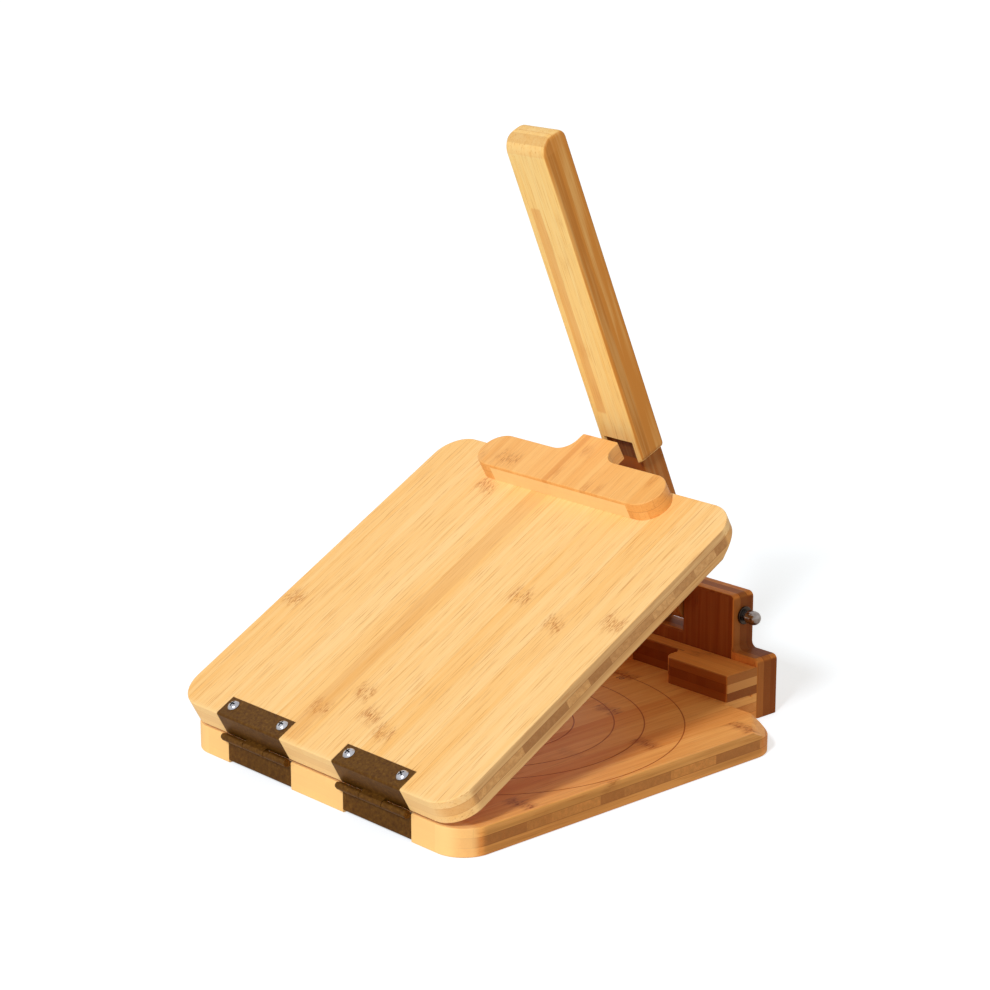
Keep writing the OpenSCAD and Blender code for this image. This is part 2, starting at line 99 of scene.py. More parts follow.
# %% [markdown]
# ## Outlines
# Nearly every wooden piece is sawn from a board and then has its edges sanded round. The CAD solids have
# sharp edges, and a bevel on them would have to fight with many small faces, so the pieces are drawn
# afresh. An outline is given as a maker would mark it on the board: by its corners, each with a radius.

# %% Outlines with round corners
ARC_STEP = 6  # degrees between two points of a round corner


def in_mm(rows):
    """Corners or profile points that are written in millimetres, as metres."""
    return [tuple(v * MM for v in row) for row in rows]


def outline(corners):
    """A closed outline, counter-clockwise, from corners of (x, y, radius)."""
    points = []
    for i, (x, y, r) in enumerate(corners):
        tip = Vector((x, y))
        back = (Vector(corners[i - 1][:2]) - tip).normalized()
        ahead = (Vector(corners[(i + 1) % len(corners)][:2]) - tip).normalized()
        if r <= 0:
            points.append(tip)
            continue
        half = back.angle(ahead) / 2
        middle = tip + (back + ahead).normalized() * (r / math.sin(half))
        start = tip + back * (r / math.tan(half)) - middle
        end = tip + ahead * (r / math.tan(half)) - middle
        sweep = math.atan2(start.x * end.y - start.y * end.x, start.dot(end))
        steps = max(3, round(abs(math.degrees(sweep)) / ARC_STEP))
        for k in range(steps + 1):
            c, s = math.cos(sweep * k / steps), math.sin(sweep * k / steps)
            points.append(middle + Vector((start.x * c - start.y * s, start.x * s + start.y * c)))
    return [p for i, p in enumerate(points) if (p - points[i - 1]).length > 1e-7]


def both_sides(right):
    """The outline of a shape that is the same left and right, from the corners of its right half."""
    left = [(-x, y, r) for x, y, r in reversed(right)]
    return outline([left[-1], *right, *left[:-1]])


print("a square with round corners:", len(both_sides([(1, -1, 0.2), (1, 1, 0.2)])), "points")

# %% [markdown]
# ## Plates and turned shapes
# A plate is an outline raised to a thickness, with rims that follow a quarter circle, as sanded edges do. A
# bevelled curve would give both rims the same round, and here they can differ. Rods, screws and nuts come
# off a lathe, so they are profiles turned about an axis.

# %% Plates and turned shapes
def inward(points):
    """The direction in which each point moves when the outline shrinks by one."""
    moves = []
    for i, p in enumerate(points):
        a, b = (p - points[i - 1]).normalized(), (points[(i + 1) % len(points)] - p).normalized()
        na, nb = Vector((-a.y, a.x)), Vector((-b.y, b.x))
        moves.append((na + nb) / max(0.3, 1 + na.dot(nb)))
    return moves


def stacked(loops):
    """Vertices and faces of a closed body that runs through loops with the same number of points."""
    n, last = len(loops[0]), len(loops) - 1
    faces = [list(range(n))[::-1], [n * last + i for i in range(n)]]
    for k in range(last):
        for i in range(n):
            j = (i + 1) % n
            faces.append([k * n + i, k * n + j, (k + 1) * n + j, (k + 1) * n + i])
    return [v for loop in loops for v in loop], faces


def plate(points, low, high, ease_low, ease_high, steps=4):
    """Vertices and faces of a plate with quarter-round rims."""
    moves = inward(points)
    rims = []
    for k in range(steps + 1 if ease_low else 1):
        turn = math.pi / 2 * k / steps if ease_low else math.pi / 2
        rims.append((ease_low * (1 - math.sin(turn)), low + ease_low * (1 - math.cos(turn))))
    for k in range(steps + 1 if ease_high else 1):
        turn = math.pi / 2 * k / steps if ease_high else 0
        rims.append((ease_high * (1 - math.cos(turn)), high - ease_high * (1 - math.sin(turn))))
    return stacked([[(*(p + m * inset), z) for p, m in zip(points, moves)] for inset, z in rims])


def turned(profile, count=48, closed=False):
    """Vertices and faces of a profile of (radius, height) turned about Z."""
    verts, faces, rows = [], [], []
    for r, z in profile:
        around = count if r > 1e-9 else 1
        rows.append([len(verts) + i for i in range(around)])
        angles = [math.tau * i / around for i in range(around)]
        verts += [(r * math.cos(a), r * math.sin(a), z) for a in angles]
    pairs = list(zip(rows, rows[1:])) + ([(rows[-1], rows[0])] if closed else [])
    for lower, upper in pairs:
        for i in range(count):
            j = (i + 1) % count
            face = [lower[i % len(lower)], lower[j % len(lower)],
                    upper[j % len(upper)], upper[i % len(upper)]]
            faces.append(list(dict.fromkeys(face)))
    return verts, [f for f in faces if len(f) > 2]


print("a turned ring:", len(turned([(1, 0), (2, 0), (2, 1), (1, 1)], closed=True)[1]), "faces")

# %% [markdown]
# ## From shapes to objects
# A shape is so far only a list of points and faces. BMesh makes an object of one or more of them and turns
# all faces outwards. Shells that reach into each other, such as a grip and its neck, stay side by side in
# one mesh. That looks the same as a Boolean and can't lose a shell where faces meet badly.

# %% Shapes to objects
def joined(name, shells, place=STILL):
    """One object from several closed shells of (vertices, faces, matrix), with faces outwards."""
    mesh = bpy.data.meshes.new(name)
    bm = bmesh.new()
    for verts, faces, where in shells:
        made = [bm.verts.new(place @ where @ Vector(v)) for v in verts]
        for f in faces:
            bm.faces.new([made[i] for i in f])
    bmesh.ops.remove_doubles(bm, verts=bm.verts, dist=1e-8)
    bmesh.ops.recalc_face_normals(bm, faces=bm.faces)
    bm.to_mesh(mesh)
    bm.free()
    made = bpy.data.objects.new(name, mesh)
    scene.collection.objects.link(made)
    return made


def solid(name, shape, where=STILL):
    """One object from one closed shell."""
    return joined(name, [(*shape, where)])


def box(low, high, where=STILL):
    """A plain block, used as a cutter and for the webs of the hinges."""
    (x0, y0, z0), (x1, y1, z1) = low, high
    points = [Vector(corner) for corner in ((x0, y0), (x1, y0), (x1, y1), (x0, y1))]
    return (*plate(points, z0, z1, 0, 0), where)


def merged(piece, *others):
    """Takes other closed shells into a piece and deletes them."""
    bm = bmesh.new()
    for each in (piece, *others):
        bm.from_mesh(each.data)
    bm.to_mesh(piece.data)
    bm.free()
    for each in others:
        bpy.data.objects.remove(each)


print("a plain block:", len(box((0, 0, 0), (1, 1, 1))[0]), "points")

# %% [markdown]
# ## Cutting and finishing a piece
# Seats, grooves and bores are cut with an exact Boolean. The result becomes a plain mesh. Flat faces
# beside small round rims need normals that are weighted by area, or the rims would shade the whole face.

# %% Carve and finish
SHARP_WOOD, SHARP_METAL = 40, 30  # degrees from which an edge stays sharp
AREA_WEIGHT = 80


def settled(piece):
    """Turns the piece and its modifiers into a plain mesh."""
    graph = bpy.context.evaluated_depsgraph_get()
    mesh = bpy.data.meshes.new_from_object(piece.evaluated_get(graph), preserve_all_data_layers=True,
                                           depsgraph=graph)
    piece.modifiers.clear()
    piece.data = mesh


def carve(piece, cutter, how="DIFFERENCE"):
    """Cuts, joins or trims a piece with a cutter, which is then deleted."""
    step = piece.modifiers.new("carve", "BOOLEAN")
    step.operation, step.object, step.solver = how, cutter, "EXACT"
    settled(piece)
    bpy.data.objects.remove(cutter)


def finish(piece, body, slot, material, *stands_for):
    """Smooth shading, the finish, and the ride on a body of the frame."""
    piece.data.materials.clear()
    piece.data.materials.append(material)
    piece.data.shade_smooth()
    sharp = SHARP_WOOD if slot.startswith("bamboo") else SHARP_METAL
    piece.data.set_sharp_from_angle(angle=math.radians(sharp))
    step = piece.modifiers.new("flat faces first", "WEIGHTED_NORMAL")
    step.keep_sharp, step.weight = True, AREA_WEIGHT
    settled(piece)
    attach(piece, body)
    if stands_for:
        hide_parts(*stands_for)
    print(piece.name, len(piece.data.polygons), "faces on", body)


print("edges stay sharp from", SHARP_WOOD, "degrees in wood and", SHARP_METAL, "in metal")

# %% [markdown]
# ## Shader arithmetic
# A finish is a small calculation at every point of a surface. The class below wraps one socket, so that
# sums, products and comparisons can be written as ordinary Python; each adds a Math node.

# %% One wire of a shader
class Wire:
    """An output socket of a shader node tree."""

    def __init__(self, tree, socket=None):
        self.tree, self.socket = tree, socket

    def make(self, kind, settings=(), inputs=(), out=0):
        """Any node: its type, its settings, and the values or wires of its sockets."""
        node = self.tree.nodes.new(kind)
        for key, value in dict(settings).items():
            setattr(node, key, value)
        for key, value in dict(inputs).items():
            if isinstance(value, Wire):
                self.tree.links.new(value.socket, node.inputs[key])
            else:
                node.inputs[key].default_value = value
        return Wire(self.tree, node.outputs[out])

    def math(self, operation, *values):
        return self.make("ShaderNodeMath", {"operation": operation}, dict(enumerate(values)))

    def __add__(self, other): return self.math("ADD", self, other)
    def __sub__(self, other): return self.math("SUBTRACT", self, other)
    def __rsub__(self, other): return self.math("SUBTRACT", other, self)
    def __mul__(self, other): return self.math("MULTIPLY", self, other)
    def __truediv__(self, other): return self.math("DIVIDE", self, other)
    def __pow__(self, other): return self.math("POWER", self, other)
    def __gt__(self, other): return self.math("GREATER_THAN", self, other)
    def __lt__(self, other): return self.math("LESS_THAN", self, other)
    __radd__, __rmul__ = __add__, __mul__

    def __abs__(self): return self.math("ABSOLUTE", self)
    def floor(self): return self.math("FLOOR", self)
    def nearest(self): return self.math("ROUND", self)
    def part(self): return self.math("FRACT", self)
    def most(self, other): return self.math("MAXIMUM", self, other)
    def least(self, other): return self.math("MINIMUM", self, other)

    def step(self, start, end):
        """0 before start, 1 after end, smooth between; start may be larger than end."""
        return self.make("ShaderNodeMapRange", {"interpolation_type": "SMOOTHSTEP"},
                         {0: self, 1: start, 2: end, 3: 0.0, 4: 1.0})

    def between(self, low, high, soft, soft_end=None):
        """1 between two limits and 0 outside them, with edges that fade over these lengths."""
        fade = soft if soft_end is None else soft_end
        return self.step(low - soft, low + soft) * self.step(high + fade, high - fade)

    def bell(self, width):
        """1 at zero, falling to nothing at the width on both sides."""
        return abs(self).step(width, 0.0)

    def mix(self, first, second):
        """A colour between two colours, by this wire."""
        return self.make("ShaderNodeMix", {"data_type": "RGBA"},
                         {0: self, 6: colour(first), 7: colour(second)}, 2)


def colour(value):
    return value if isinstance(value, Wire) else (*value, 1)


def srgb(r, g, b):
    """A linear colour from the usual 0 to 255 numbers."""
    return tuple(((v / 255 + 0.055) / 1.055) ** 2.4 if v > 10 else v / 255 / 12.92 for v in (r, g, b))


def palette(*tones):
    return [srgb(*tone) for tone in tones]


def new_finish(name):
    """An empty material: its tree and its surface shader."""
    material = bpy.data.materials.new(name)
    material.use_nodes = True
    shader = material.node_tree.nodes["Principled BSDF"]
    return material, Wire(material.node_tree), shader


def plug(wire, node, socket):
    wire.tree.links.new(wire.socket, node.inputs[socket])


print("middle grey in linear light:", round(srgb(128, 128, 128)[0], 3))

# %% [markdown]
# ## Laminated bamboo: plies, strips and grain
# Bamboo board is glued from flat strips about 20 mm wide. The boards have three plies and the middle one
# runs crosswise, so its strips show as short blocks on a sawn side. An unwrapped pattern would stretch on
# the sides, so the finish is worked out in space: each point finds its ply, its strip and its grain.
# Fibres are long along the strip and thin across it, so a sawn end shows them as dots by itself.

# %% Plies, strips and grain
# Width and length in millimetres, detail, roughness and offset of each kind of grain.
FIBRE, STREAK = (0.75, 30.0, 3.0, 0.6, 0.0), (3.2, 120.0, 2.0, 0.5, 4.0)
CLOUD, DASH = (14.0, 160.0, 2.0, 0.5, 9.0), (0.62, 3.6, 1.0, 0.5, 2.0)


class Board:
    """The wires of one laminated board; lengths are millimetres in a frame of the piece.

    at, tilt: place of that frame. along, through: axes of the strips and of the stack of plies.
    strip, shift: width of the strips and where they begin. plies: start, thickness, middle one crossed.
    """

    def __init__(self, name, at, tilt, along, through, strip, shift, plies):
        self.material, w, self.shader = new_finish(name)
        self.w = w
        spot = w.make("ShaderNodeTexCoord", out=3)
        local = w.make("ShaderNodeMapping", {"vector_type": "TEXTURE"},
                       {0: spot, 1: at, 2: (tilt, 0, 0), 3: (MM, MM, MM)})
        self.axis = {a: w.make("ShaderNodeSeparateXYZ", (), {0: local}, i) for i, a in enumerate("xyz")}
        across = next(a for a in "xyz" if a not in (along, through))
        self.across, self.along, self.through = (self.axis[a] for a in (across, along, through))
        start, thick, self.crossed = plies
        level = (self.through - start) / thick
        self.ply = level.floor()
        inner = (level > 0.3) * (level < (2.7 if self.crossed else 1.7))
        self.glue = abs((level - level.nearest()) * thick).step(0.32, 0.05) * inner
        self.u, self.v = self.across, self.along
        if self.crossed:
            self.middle = abs(self.ply - 1) < 0.5
            swap = (self.v - self.u) * self.middle
            self.u, self.v = self.u + swap, self.v - swap

        # Every strip has a number, and three chances that are drawn from it.
        lane = (self.u - shift) / strip + self.ply * 0.37
        self.number = lane.floor()
        self.seam = abs(lane.part() - 0.5).step(0.5 - 0.22 / strip, 0.5)
        draw = w.make("ShaderNodeCombineXYZ", (), {0: self.number, 1: self.ply, 2: 3.7})
        chance = w.make("ShaderNodeTexWhiteNoise", {"noise_dimensions": "3D"}, {"Vector": draw}, 1)
        self.dice = [w.make("ShaderNodeSeparateColor", (), {0: chance}, i) for i in range(3)]
        self.fibre, self.streak, self.cloud, self.dash = (
            self.grain(*kind) for kind in (FIBRE, STREAK, CLOUD, DASH))

    def grain(self, wide, long, detail, rough, offset):
        """Noise that is this wide and this long along the strip."""
        place = self.w.make("ShaderNodeCombineXYZ", (), {
            0: self.u * (1 / wide) + self.number * 7.3, 1: self.v * (1 / long) + offset,
            2: self.through * (1 / wide) + self.ply * 5.1})
        return self.w.make("ShaderNodeTexNoise", {"noise_dimensions": "3D"},
                           {"Vector": place, "Scale": 1.0, "Detail": detail, "Roughness": rough})


print("fibres are", FIBRE[0], "mm wide and", FIBRE[1], "mm long")

# %% [markdown]
# ## Laminated bamboo: colour
# Each strip has its own tone and fine fibres, and here and there a node, where the cane had a joint: a band
# of short dark dashes. Most nodes fall by chance; those that stand out on the real board are placed. Each
# layer of colour is a function that covers the paint so far, so that a board can leave some out.

# %% Strips, nodes and glue lines
MARK = srgb(184, 108, 34)


def strip_paint(board, tones, contrast):
    """Tone of each strip, then dark and pale fibres."""
    tone = board.dice[0] * 0.62 + board.streak.step(0.35, 0.68) * 0.38 + (board.cloud - 0.5) * 0.7
    board.tone = tone.least(1.0).most(0.0)
    board.lines = board.fibre.step(0.52, 0.78) * (0.34 * contrast)
    pale_lines = board.fibre.step(0.45, 0.22) * (0.22 * contrast)
    paint = board.lines.mix(board.tone.mix(tones[0], tones[1]), tones[2])
    return pale_lines.mix(paint, tones[3])


def chance_nodes(board, paint, tones, every, power):
    """Nodes that fall by chance, about this far apart along a strip."""
    wave = ((board.v / every + board.dice[1]).part() - 0.5) * every + (board.streak - 0.5) * 16
    spots = wave.bell(9.0) * (board.dash.step(0.48, 0.62) * 0.6 + 0.4)
    spots = spots * (board.dice[2].step(0.2, 0.7) * power)
    if board.crossed:
        spots = spots * (1 - board.middle)
    return spots.mix(paint, tones[2])


def placed_nodes(board, paint, marks):
    """Single nodes at (x, y, width)."""
    for x, y, wide in marks:
        off = board.across - x
        wave = board.along - y + (board.streak - 0.5) * 14 + off * 0.12
        dashes = wave.bell(10.0) * (board.dash.step(0.49, 0.58) * 0.86 + 0.14)
        spots = (off / wide).bell(1.0).step(0.0, 0.3) * dashes
        paint = (spots * 0.75).mix(paint, MARK)
    return paint


def single_strips(board, paint, tone, rows, soft, soft_end):
    """Strips of (low, high, begin, end, power) in another tone: real strips, and painted light and shade.
    """
    for low, high, begin, end, power in rows:
        inside = board.across.between(low, high, soft) * board.along.between(begin, end, 1, soft_end)
        paint = (inside * power).mix(paint, tone)
    return paint


def glue_lines(board, paint, tones):
    """Lines between plies and strips, and the deeper tone of the crossed ply."""
    paint = (board.glue * 0.6).mix(paint, tones[2])
    paint = (board.seam * 0.28).mix(paint, tones[2])
    if board.crossed:
        paint = (board.middle * (board.dice[1] * 0.35 + 0.28)).mix(paint, tones[4])
    return paint


print("placed nodes, in linear light:", [round(v, 3) for v in MARK])

# %% [markdown]
# ## Laminated bamboo: sides, zones and rings
# Sawn sides are browner than the faces, the ends of the blocks show their plies as bands, and some zones
# are toned: some with the wood's own tone, some with painted light and shade. The rings on the base are
# burnt in, so besides their grooves they get a dark line here. All of these depend on where a point lies on
# the piece, so its axes are compared with lengths.

# %% Sides, zones and rings
BURNT, SAWN_DARK = srgb(168, 80, 22), srgb(134, 80, 38)
RING_LINE = 0.6  # reach of a burnt ring line to each side, in millimetres


def sawn_sides(board, paint, tones, distance, tint, power):
    """Browner sides from this distance off the middle, with the plies of a crossed board."""
    flank = abs(board.across).step(distance, distance + 0.8)
    paint = (flank * (power * (0.55 + 0.45 * board.streak.step(0.3, 0.7)))).mix(paint, tint)
    paint = (flank * board.lines).mix(paint, tones[2])
    if board.crossed:
        paint = (flank * board.middle * (board.dice[1].step(0.25, 0.9) * 0.6)).mix(paint, SAWN_DARK)
        paint = (flank * board.glue * 0.6).mix(paint, SAWN_DARK)
    return paint


def toned_zones(board, paint, tone_light_shade_zones):
    """Zones of (begin, end, low, high, reach, power, tint): the wood's own tones, and painted light and
    shade.
    """
    for begin, end, low, high, reach, power, tint in tone_light_shade_zones:
        inside = board.along.between(begin, end, 0.5) * board.through.between(low, high, 0.3)
        inside = inside * abs(board.across).step(reach + 0.3, reach - 0.3)
        paint = (inside * (power * (0.85 + 0.3 * (board.streak - 0.5)))).mix(paint, tint)
    return paint


def banded_ends(board, paint, size, tints):
    """Ends of (half width, height, narrower above it), with a tint for each ply."""
    half, height, narrower = size
    inset = (board.axis["z"] > height) * narrower
    on_end = (abs(board.axis["x"]) + inset - half).step(-0.4, 0.4) * (0.75 + 0.3 * board.fibre)
    for count, tint in enumerate(tints):
        paint = (on_end * (abs(board.ply - count) < 0.5)).mix(paint, tint)
    return paint


def burnt_rings(board, paint, radii):
    """Burnt lines of these radii on the upper face."""
    x, y, z = (board.axis[a] for a in "xyz")
    radius = (x * x + y * y) ** 0.5
    burn = (radius - radii[0]).bell(RING_LINE)
    for r in radii[1:]:
        burn = burn.most((radius - r).bell(RING_LINE))
    burn = burn.step(0.0, 0.45) * (z > BASE_T / MM - 0.9)
    return (burn * 0.85).mix(paint, BURNT)


print("ring lines reach", RING_LINE, "mm to each side")

# %% [markdown]
# ## Laminated bamboo: the whole finish
# One function lays the layers over each other in a fixed order, so the woods of the press differ only in
# numbers. Roughness and a shallow bump follow the fibres, because light catches on the grain. The first
# wood made with it is the plainest, for the dowels inside.

# %% The bamboo finish
ORIGIN = (0, 0, 0)
HONEY = palette((255, 214, 150), (249, 194, 116), (196, 128, 58), (255, 220, 158), (218, 150, 76))


def bamboo(name, at, tilt, along, through, strip, shift, plies, tones, marks=(), dark_strips_and_shade=(), nodes_every=260,
           node_power=0.55, rings=(), contrast=1.0, pale_strips_and_light=(), sides=None, tone_light_shade_zones=(), bands=None,
           shine=0.35):
    """Laminated bamboo, from the values of a board and of the layers on it.

    tones: two tones that the strips lie between, dark fibres, pale fibres, deep tone.
    """
    board = Board(name, at, tilt, along, through, strip, shift, plies)
    paint = strip_paint(board, tones, contrast)
    if nodes_every:
        paint = chance_nodes(board, paint, tones, nodes_every, node_power)
    paint = placed_nodes(board, paint, marks)
    paint = single_strips(board, paint, tones[4], dark_strips_and_shade, 0.3, 1)
    paint = glue_lines(board, paint, tones)
    paint = single_strips(board, paint, tones[3], pale_strips_and_light, 0.5, 3)
    if sides:
        paint = sawn_sides(board, paint, tones, *sides)
    paint = toned_zones(board, paint, tone_light_shade_zones)
    if bands:
        paint = banded_ends(board, paint, *bands)
    if rings:
        paint = burnt_rings(board, paint, rings)

    fibre, shader = board.fibre, board.shader
    plug(paint, shader, "Base Color")
    plug(0.40 + fibre * 0.14 + board.tone * 0.05, shader, "Roughness")
    relief = fibre * 0.6 - board.seam * 0.5
    bump = board.w.make("ShaderNodeBump", (), {"Strength": 0.22, "Distance": 0.0003, "Height": relief})
    plug(bump, shader, "Normal")
    shader.inputs["Specular IOR Level"].default_value = shine
    return board.material


dowel_wood = bamboo("dowel wood", ORIGIN, 0, "z", "y", 30, 0, (0, 60, False), HONEY, nodes_every=0)
print("the plainest bamboo has", len(dowel_wood.node_tree.nodes), "shader nodes")

# %% [markdown]
# ## The woods of the press
# Lid and lever are pale. The base is amber and the stop block and the upright are the darkest; these
# deeper tones are mostly painted shade, as the three pieces stand in the shade of the lid. The sawn sides
# are browner than the faces. On the lid the darker strip and the larger nodes are placed one by one, where
# the real board has them. More painted shade darkens the lever's notch and neck, the rear faces of the stop
# block and the upright, the recess and the slot. Painted light makes the top of the stop block and the
# rear edge of the base paler.

# %% Bamboo for each piece
STRAW = palette((255, 228, 160), (253, 210, 128), (206, 140, 66), (255, 230, 174), (224, 156, 80))
# Painted shade: CARAMEL and AMBER are mostly deeper and redder than HONEY and STRAW because the stop block,
# the upright and the base stand in the shade of the lid.
CARAMEL = palette((236, 156, 78), (218, 130, 58), (118, 52, 14), (246, 176, 92), (122, 50, 12))
AMBER = palette((243, 177, 98), (222, 139, 63), (164, 84, 30), (255, 212, 142), (196, 112, 48))
GOLD = palette((248, 190, 114), (240, 172, 92), (196, 120, 52), (253, 208, 140), (220, 144, 70))
LID_MARKS = [(-119, 104, 11), (-19, 34, 11), (1, 57, 11), (21, 43, 11), (41, 35, 11), (41, 161, 11),
             (81, 148, 11), (119, 163, 12), (-64, 237, 12)]
BOARD_SIDE = 129.9

lid_wood = bamboo(
    "bamboo lid", PIN, LID_ANGLE, "y", "z", 20, -9, (0.2, 5.84, True), HONEY, LID_MARKS,
    dark_strips_and_shade=[(-27.5, -12.5, 7, 300, 0.28)], nodes_every=0, contrast=2.4, pale_strips_and_light=[(-132, 132, -2, 4.2, 0.8)],
    sides=(BOARD_SIDE, srgb(184, 136, 87), 0.9), shine=0.22)
base_wood = bamboo(
    "bamboo base", ORIGIN, 0, "y", "z", 20, 3, (0, 6, True), AMBER, rings=[r / MM for r in RING_RADII],
    nodes_every=190, node_power=1.0, contrast=1.3,
    # Painted light: these rows make the rear edge and the rear corners paler, where the lamp falls on them.
    pale_strips_and_light=[(-124, 124, -140, -132, 0.85), (108, 132, -140, -122, 0.6), (-132, -108, -140, -122, 0.6)],
    sides=(BOARD_SIDE, srgb(176, 125, 64), 0.9), shine=0.14)
block_wood = bamboo(
    "bamboo press block", PIN, LID_ANGLE, "y", "z", 5.2, -1.8, (17.7, 6.5, False), GOLD, [(-52, 254, 13)],
    dark_strips_and_shade=[(-12.2, -7.2, 200, 320, 0.5)], nodes_every=150, contrast=1.7,
    pale_strips_and_light=[(-83, -12.2, 200, 320, 0.1)], tone_light_shade_zones=[(150, 264, 16, 28.2, 62, 1.0, srgb(255, 222, 158))])
stop_wood = bamboo(
    "bamboo stop block", ORIGIN, 0, "x", "z", 8, 1, (18, 5.9, True), CARAMEL,
    # Painted shade: the dark rows darken the rear face under the lid and the far wall of the recess.
    dark_strips_and_shade=[(136, 138.6, -80.4, 80.4, 0.75), (154.4, 156, -26, 26, 0.85)], shine=0.07,
    # Painted light: this zone makes the top face paler, where the lamp falls on it from above.
    tone_light_shade_zones=[(-82, 82, 35.3, 36.5, 170, 0.3, srgb(250, 176, 90))],
    bands=((80.6, 99, 0), palette((140, 79, 37), (218, 157, 92), (172, 109, 56))))
upright_wood = bamboo(
    "bamboo upright", ORIGIN, 0, "z", "y", 17, 4, (166.3, 6.67, True), CARAMEL, shine=0.07,
    # Painted shade: the first zone darkens the rear face under the lid, the second the walls and floor of
    # the slot.
    tone_light_shade_zones=[(-10, 90, 165, 167, 58, 0.9, srgb(112, 28, 2)),
            (44.6, 90, 160, 190, 14.4, 1.0, srgb(92, 36, 10))],
    bands=((80.6, 40.4, 22), palette((166, 100, 46), (140, 76, 30), (124, 58, 18))))
lever_wood = bamboo(
    "bamboo lever", PIVOT, LEVER_ANGLE, "z", "y", 8.7, -2.8, (-8, 11.2, False), STRAW,
    dark_strips_and_shade=[(-11, -3, 151, 302, 0.5)], nodes_every=210, node_power=0.3, contrast=2.1,
    sides=(16.2, srgb(206, 137, 60), 1.2), shine=0.1,
    # Painted shade: the first zone darkens the notch behind the tongue, the second the neck, which stands
    # in the shade of the tongue and the grip. The other two darken a band along the sides and the top end a
    # little.
    tone_light_shade_zones=[(-30, 131.9, -6, -4.2, 13.2, 1.1, srgb(78, 20, 2)),
            (-30, 116.4, -20, 20, 13.4, 1.05, srgb(158, 84, 20)),
            (100, 353, -5.4, 0.4, 30, 0.32, srgb(148, 82, 24)),
            (340, 353, -20, 20, 30, 0.3, srgb(220, 150, 76))])
print("bamboo finishes:", [m.name for m in bpy.data.materials if m.name.startswith("bamboo")])

# %% [markdown]
# ## Metal and small finishes
# The hinges are steel with a dark bronze coat that is rubbed thin in places. The screws and the cap nuts
# are bright plated. Plain metal would only mirror the white sky, so slow patches vary its colour and fine
# brushed scratches its gloss. The ring figures get a burnt brown that is a little uneven.

# %% Metal finishes
def metal(name, tones, rough, scale, metallic=1.0, shine=0.5):
    """A coat that varies slowly, with fine brushed scratches and painted shade in marked hollows."""
    material, w, shader = new_finish(name)
    spot = w.make("ShaderNodeTexCoord", out=3)
    patch = w.make("ShaderNodeTexNoise", (),
                   {"Vector": spot, "Scale": scale, "Detail": 4.0, "Roughness": 0.65})
    long = w.make("ShaderNodeMapping", (), {0: spot, 3: (90, 1400, 1400)})
    brush = w.make("ShaderNodeTexNoise", (), {"Vector": long, "Scale": 1.0, "Detail": 2.0})
    worn = patch.step(0.56, 0.74)
    paint = patch.step(0.3, 0.6).mix(tones[0], tones[1])
    paint = (worn * 0.5).mix(paint, tones[2])
    recess_shade = w.make("ShaderNodeAttribute", {"attribute_name": "recess_shade"}, out="Fac")
    # Painted shade: faces marked as the hollow of a screw's cross are darkened.
    paint = (recess_shade * 0.9).mix(paint, srgb(46, 42, 40))
    plug(paint, shader, "Base Color")
    plug(rough + patch * 0.14 + brush * 0.10 - worn * 0.06, shader, "Roughness")
    bump = w.make("ShaderNodeBump", (), {"Strength": 0.12, "Distance": 0.0002, "Height": brush + patch})
    plug(bump, shader, "Normal")
    shader.inputs["Metallic"].default_value = metallic
    shader.inputs["Specular IOR Level"].default_value = shine
    return material


bronze = metal("bronzed steel", palette((82, 49, 13), (103, 68, 21), (138, 97, 40)), 0.32, 520, 0.45, 0.1)
dark_plate = metal("dark plate", palette((58, 48, 42), (76, 66, 60), (116, 106, 98)), 0.16, 200)
cap_plate = metal("cap plate", palette((132, 122, 118), (160, 152, 148), (204, 198, 194)), 0.03, 200)
bright = metal("bright plate", palette((164, 164, 170), (192, 192, 197), (218, 218, 222)), 0.10, 90)
line_ink, w_ink, shade_ink = new_finish("burnt line")
soot = w_ink.make("ShaderNodeTexNoise", (),
                  {"Vector": w_ink.make("ShaderNodeTexCoord", out=3), "Scale": 900.0})
plug(soot.step(0.3, 0.7).mix(srgb(84, 36, 16), srgb(120, 60, 28)), shade_ink, "Base Color")
shade_ink.inputs["Roughness"].default_value = 0.7
print("metal finishes:", [m.name for m in (bronze, dark_plate, cap_plate, bright)])

# %% [markdown]
# ## Base board
# The base is one board with a tab at the lever end. Its upper front corners slope down as finger grips,
# four rings are engraved in it, and the hinges are let into its rear edge. It is made as in a workshop: the
# eased board first, then the tab, and then one cut after the other, each with a cutter of its own. Grooves
# in a bump alone would be simpler, but the mesh would lack them.

# %% Base board
SLOPE_IN, SLOPE_ANGLE, SLOPE_SIZE = 13.5 * MM, 34, 54 * MM
BASE_EASE, TAB_EASE, TAB_OVERLAP = 0.9 * MM, 0.2 * MM, 20 * MM
LINE_HALF, LINE_DEEP = 0.3 * MM, 0.15 * MM
CLEAR = 2 * MM  # how far a cutter stands out of the wood


def finger_slope(front, height, up):
    """Two blocks that cut the sloping finger grips off the front corners of a board."""
    shells = []
    for side in (1, -1):
        where = (Matrix.Translation((side * (HALF_W - SLOPE_IN), front - SLOPE_IN, height))
                 @ Matrix.Rotation(math.radians(45 if side > 0 else 135), 4, "Z")
                 @ Matrix.Rotation(math.radians(SLOPE_ANGLE * up), 4, "Y"))
        low, high = (0, SLOPE_SIZE / 2) if up > 0 else (-SLOPE_SIZE / 2, 0)
        shells.append(box((0, -SLOPE_SIZE, low), (SLOPE_SIZE, SLOPE_SIZE, high), where))
    return shells


def board_outline(front):
    return both_sides([(HALF_W, REAR, CORNER_R), (HALF_W, front, CORNER_R)])


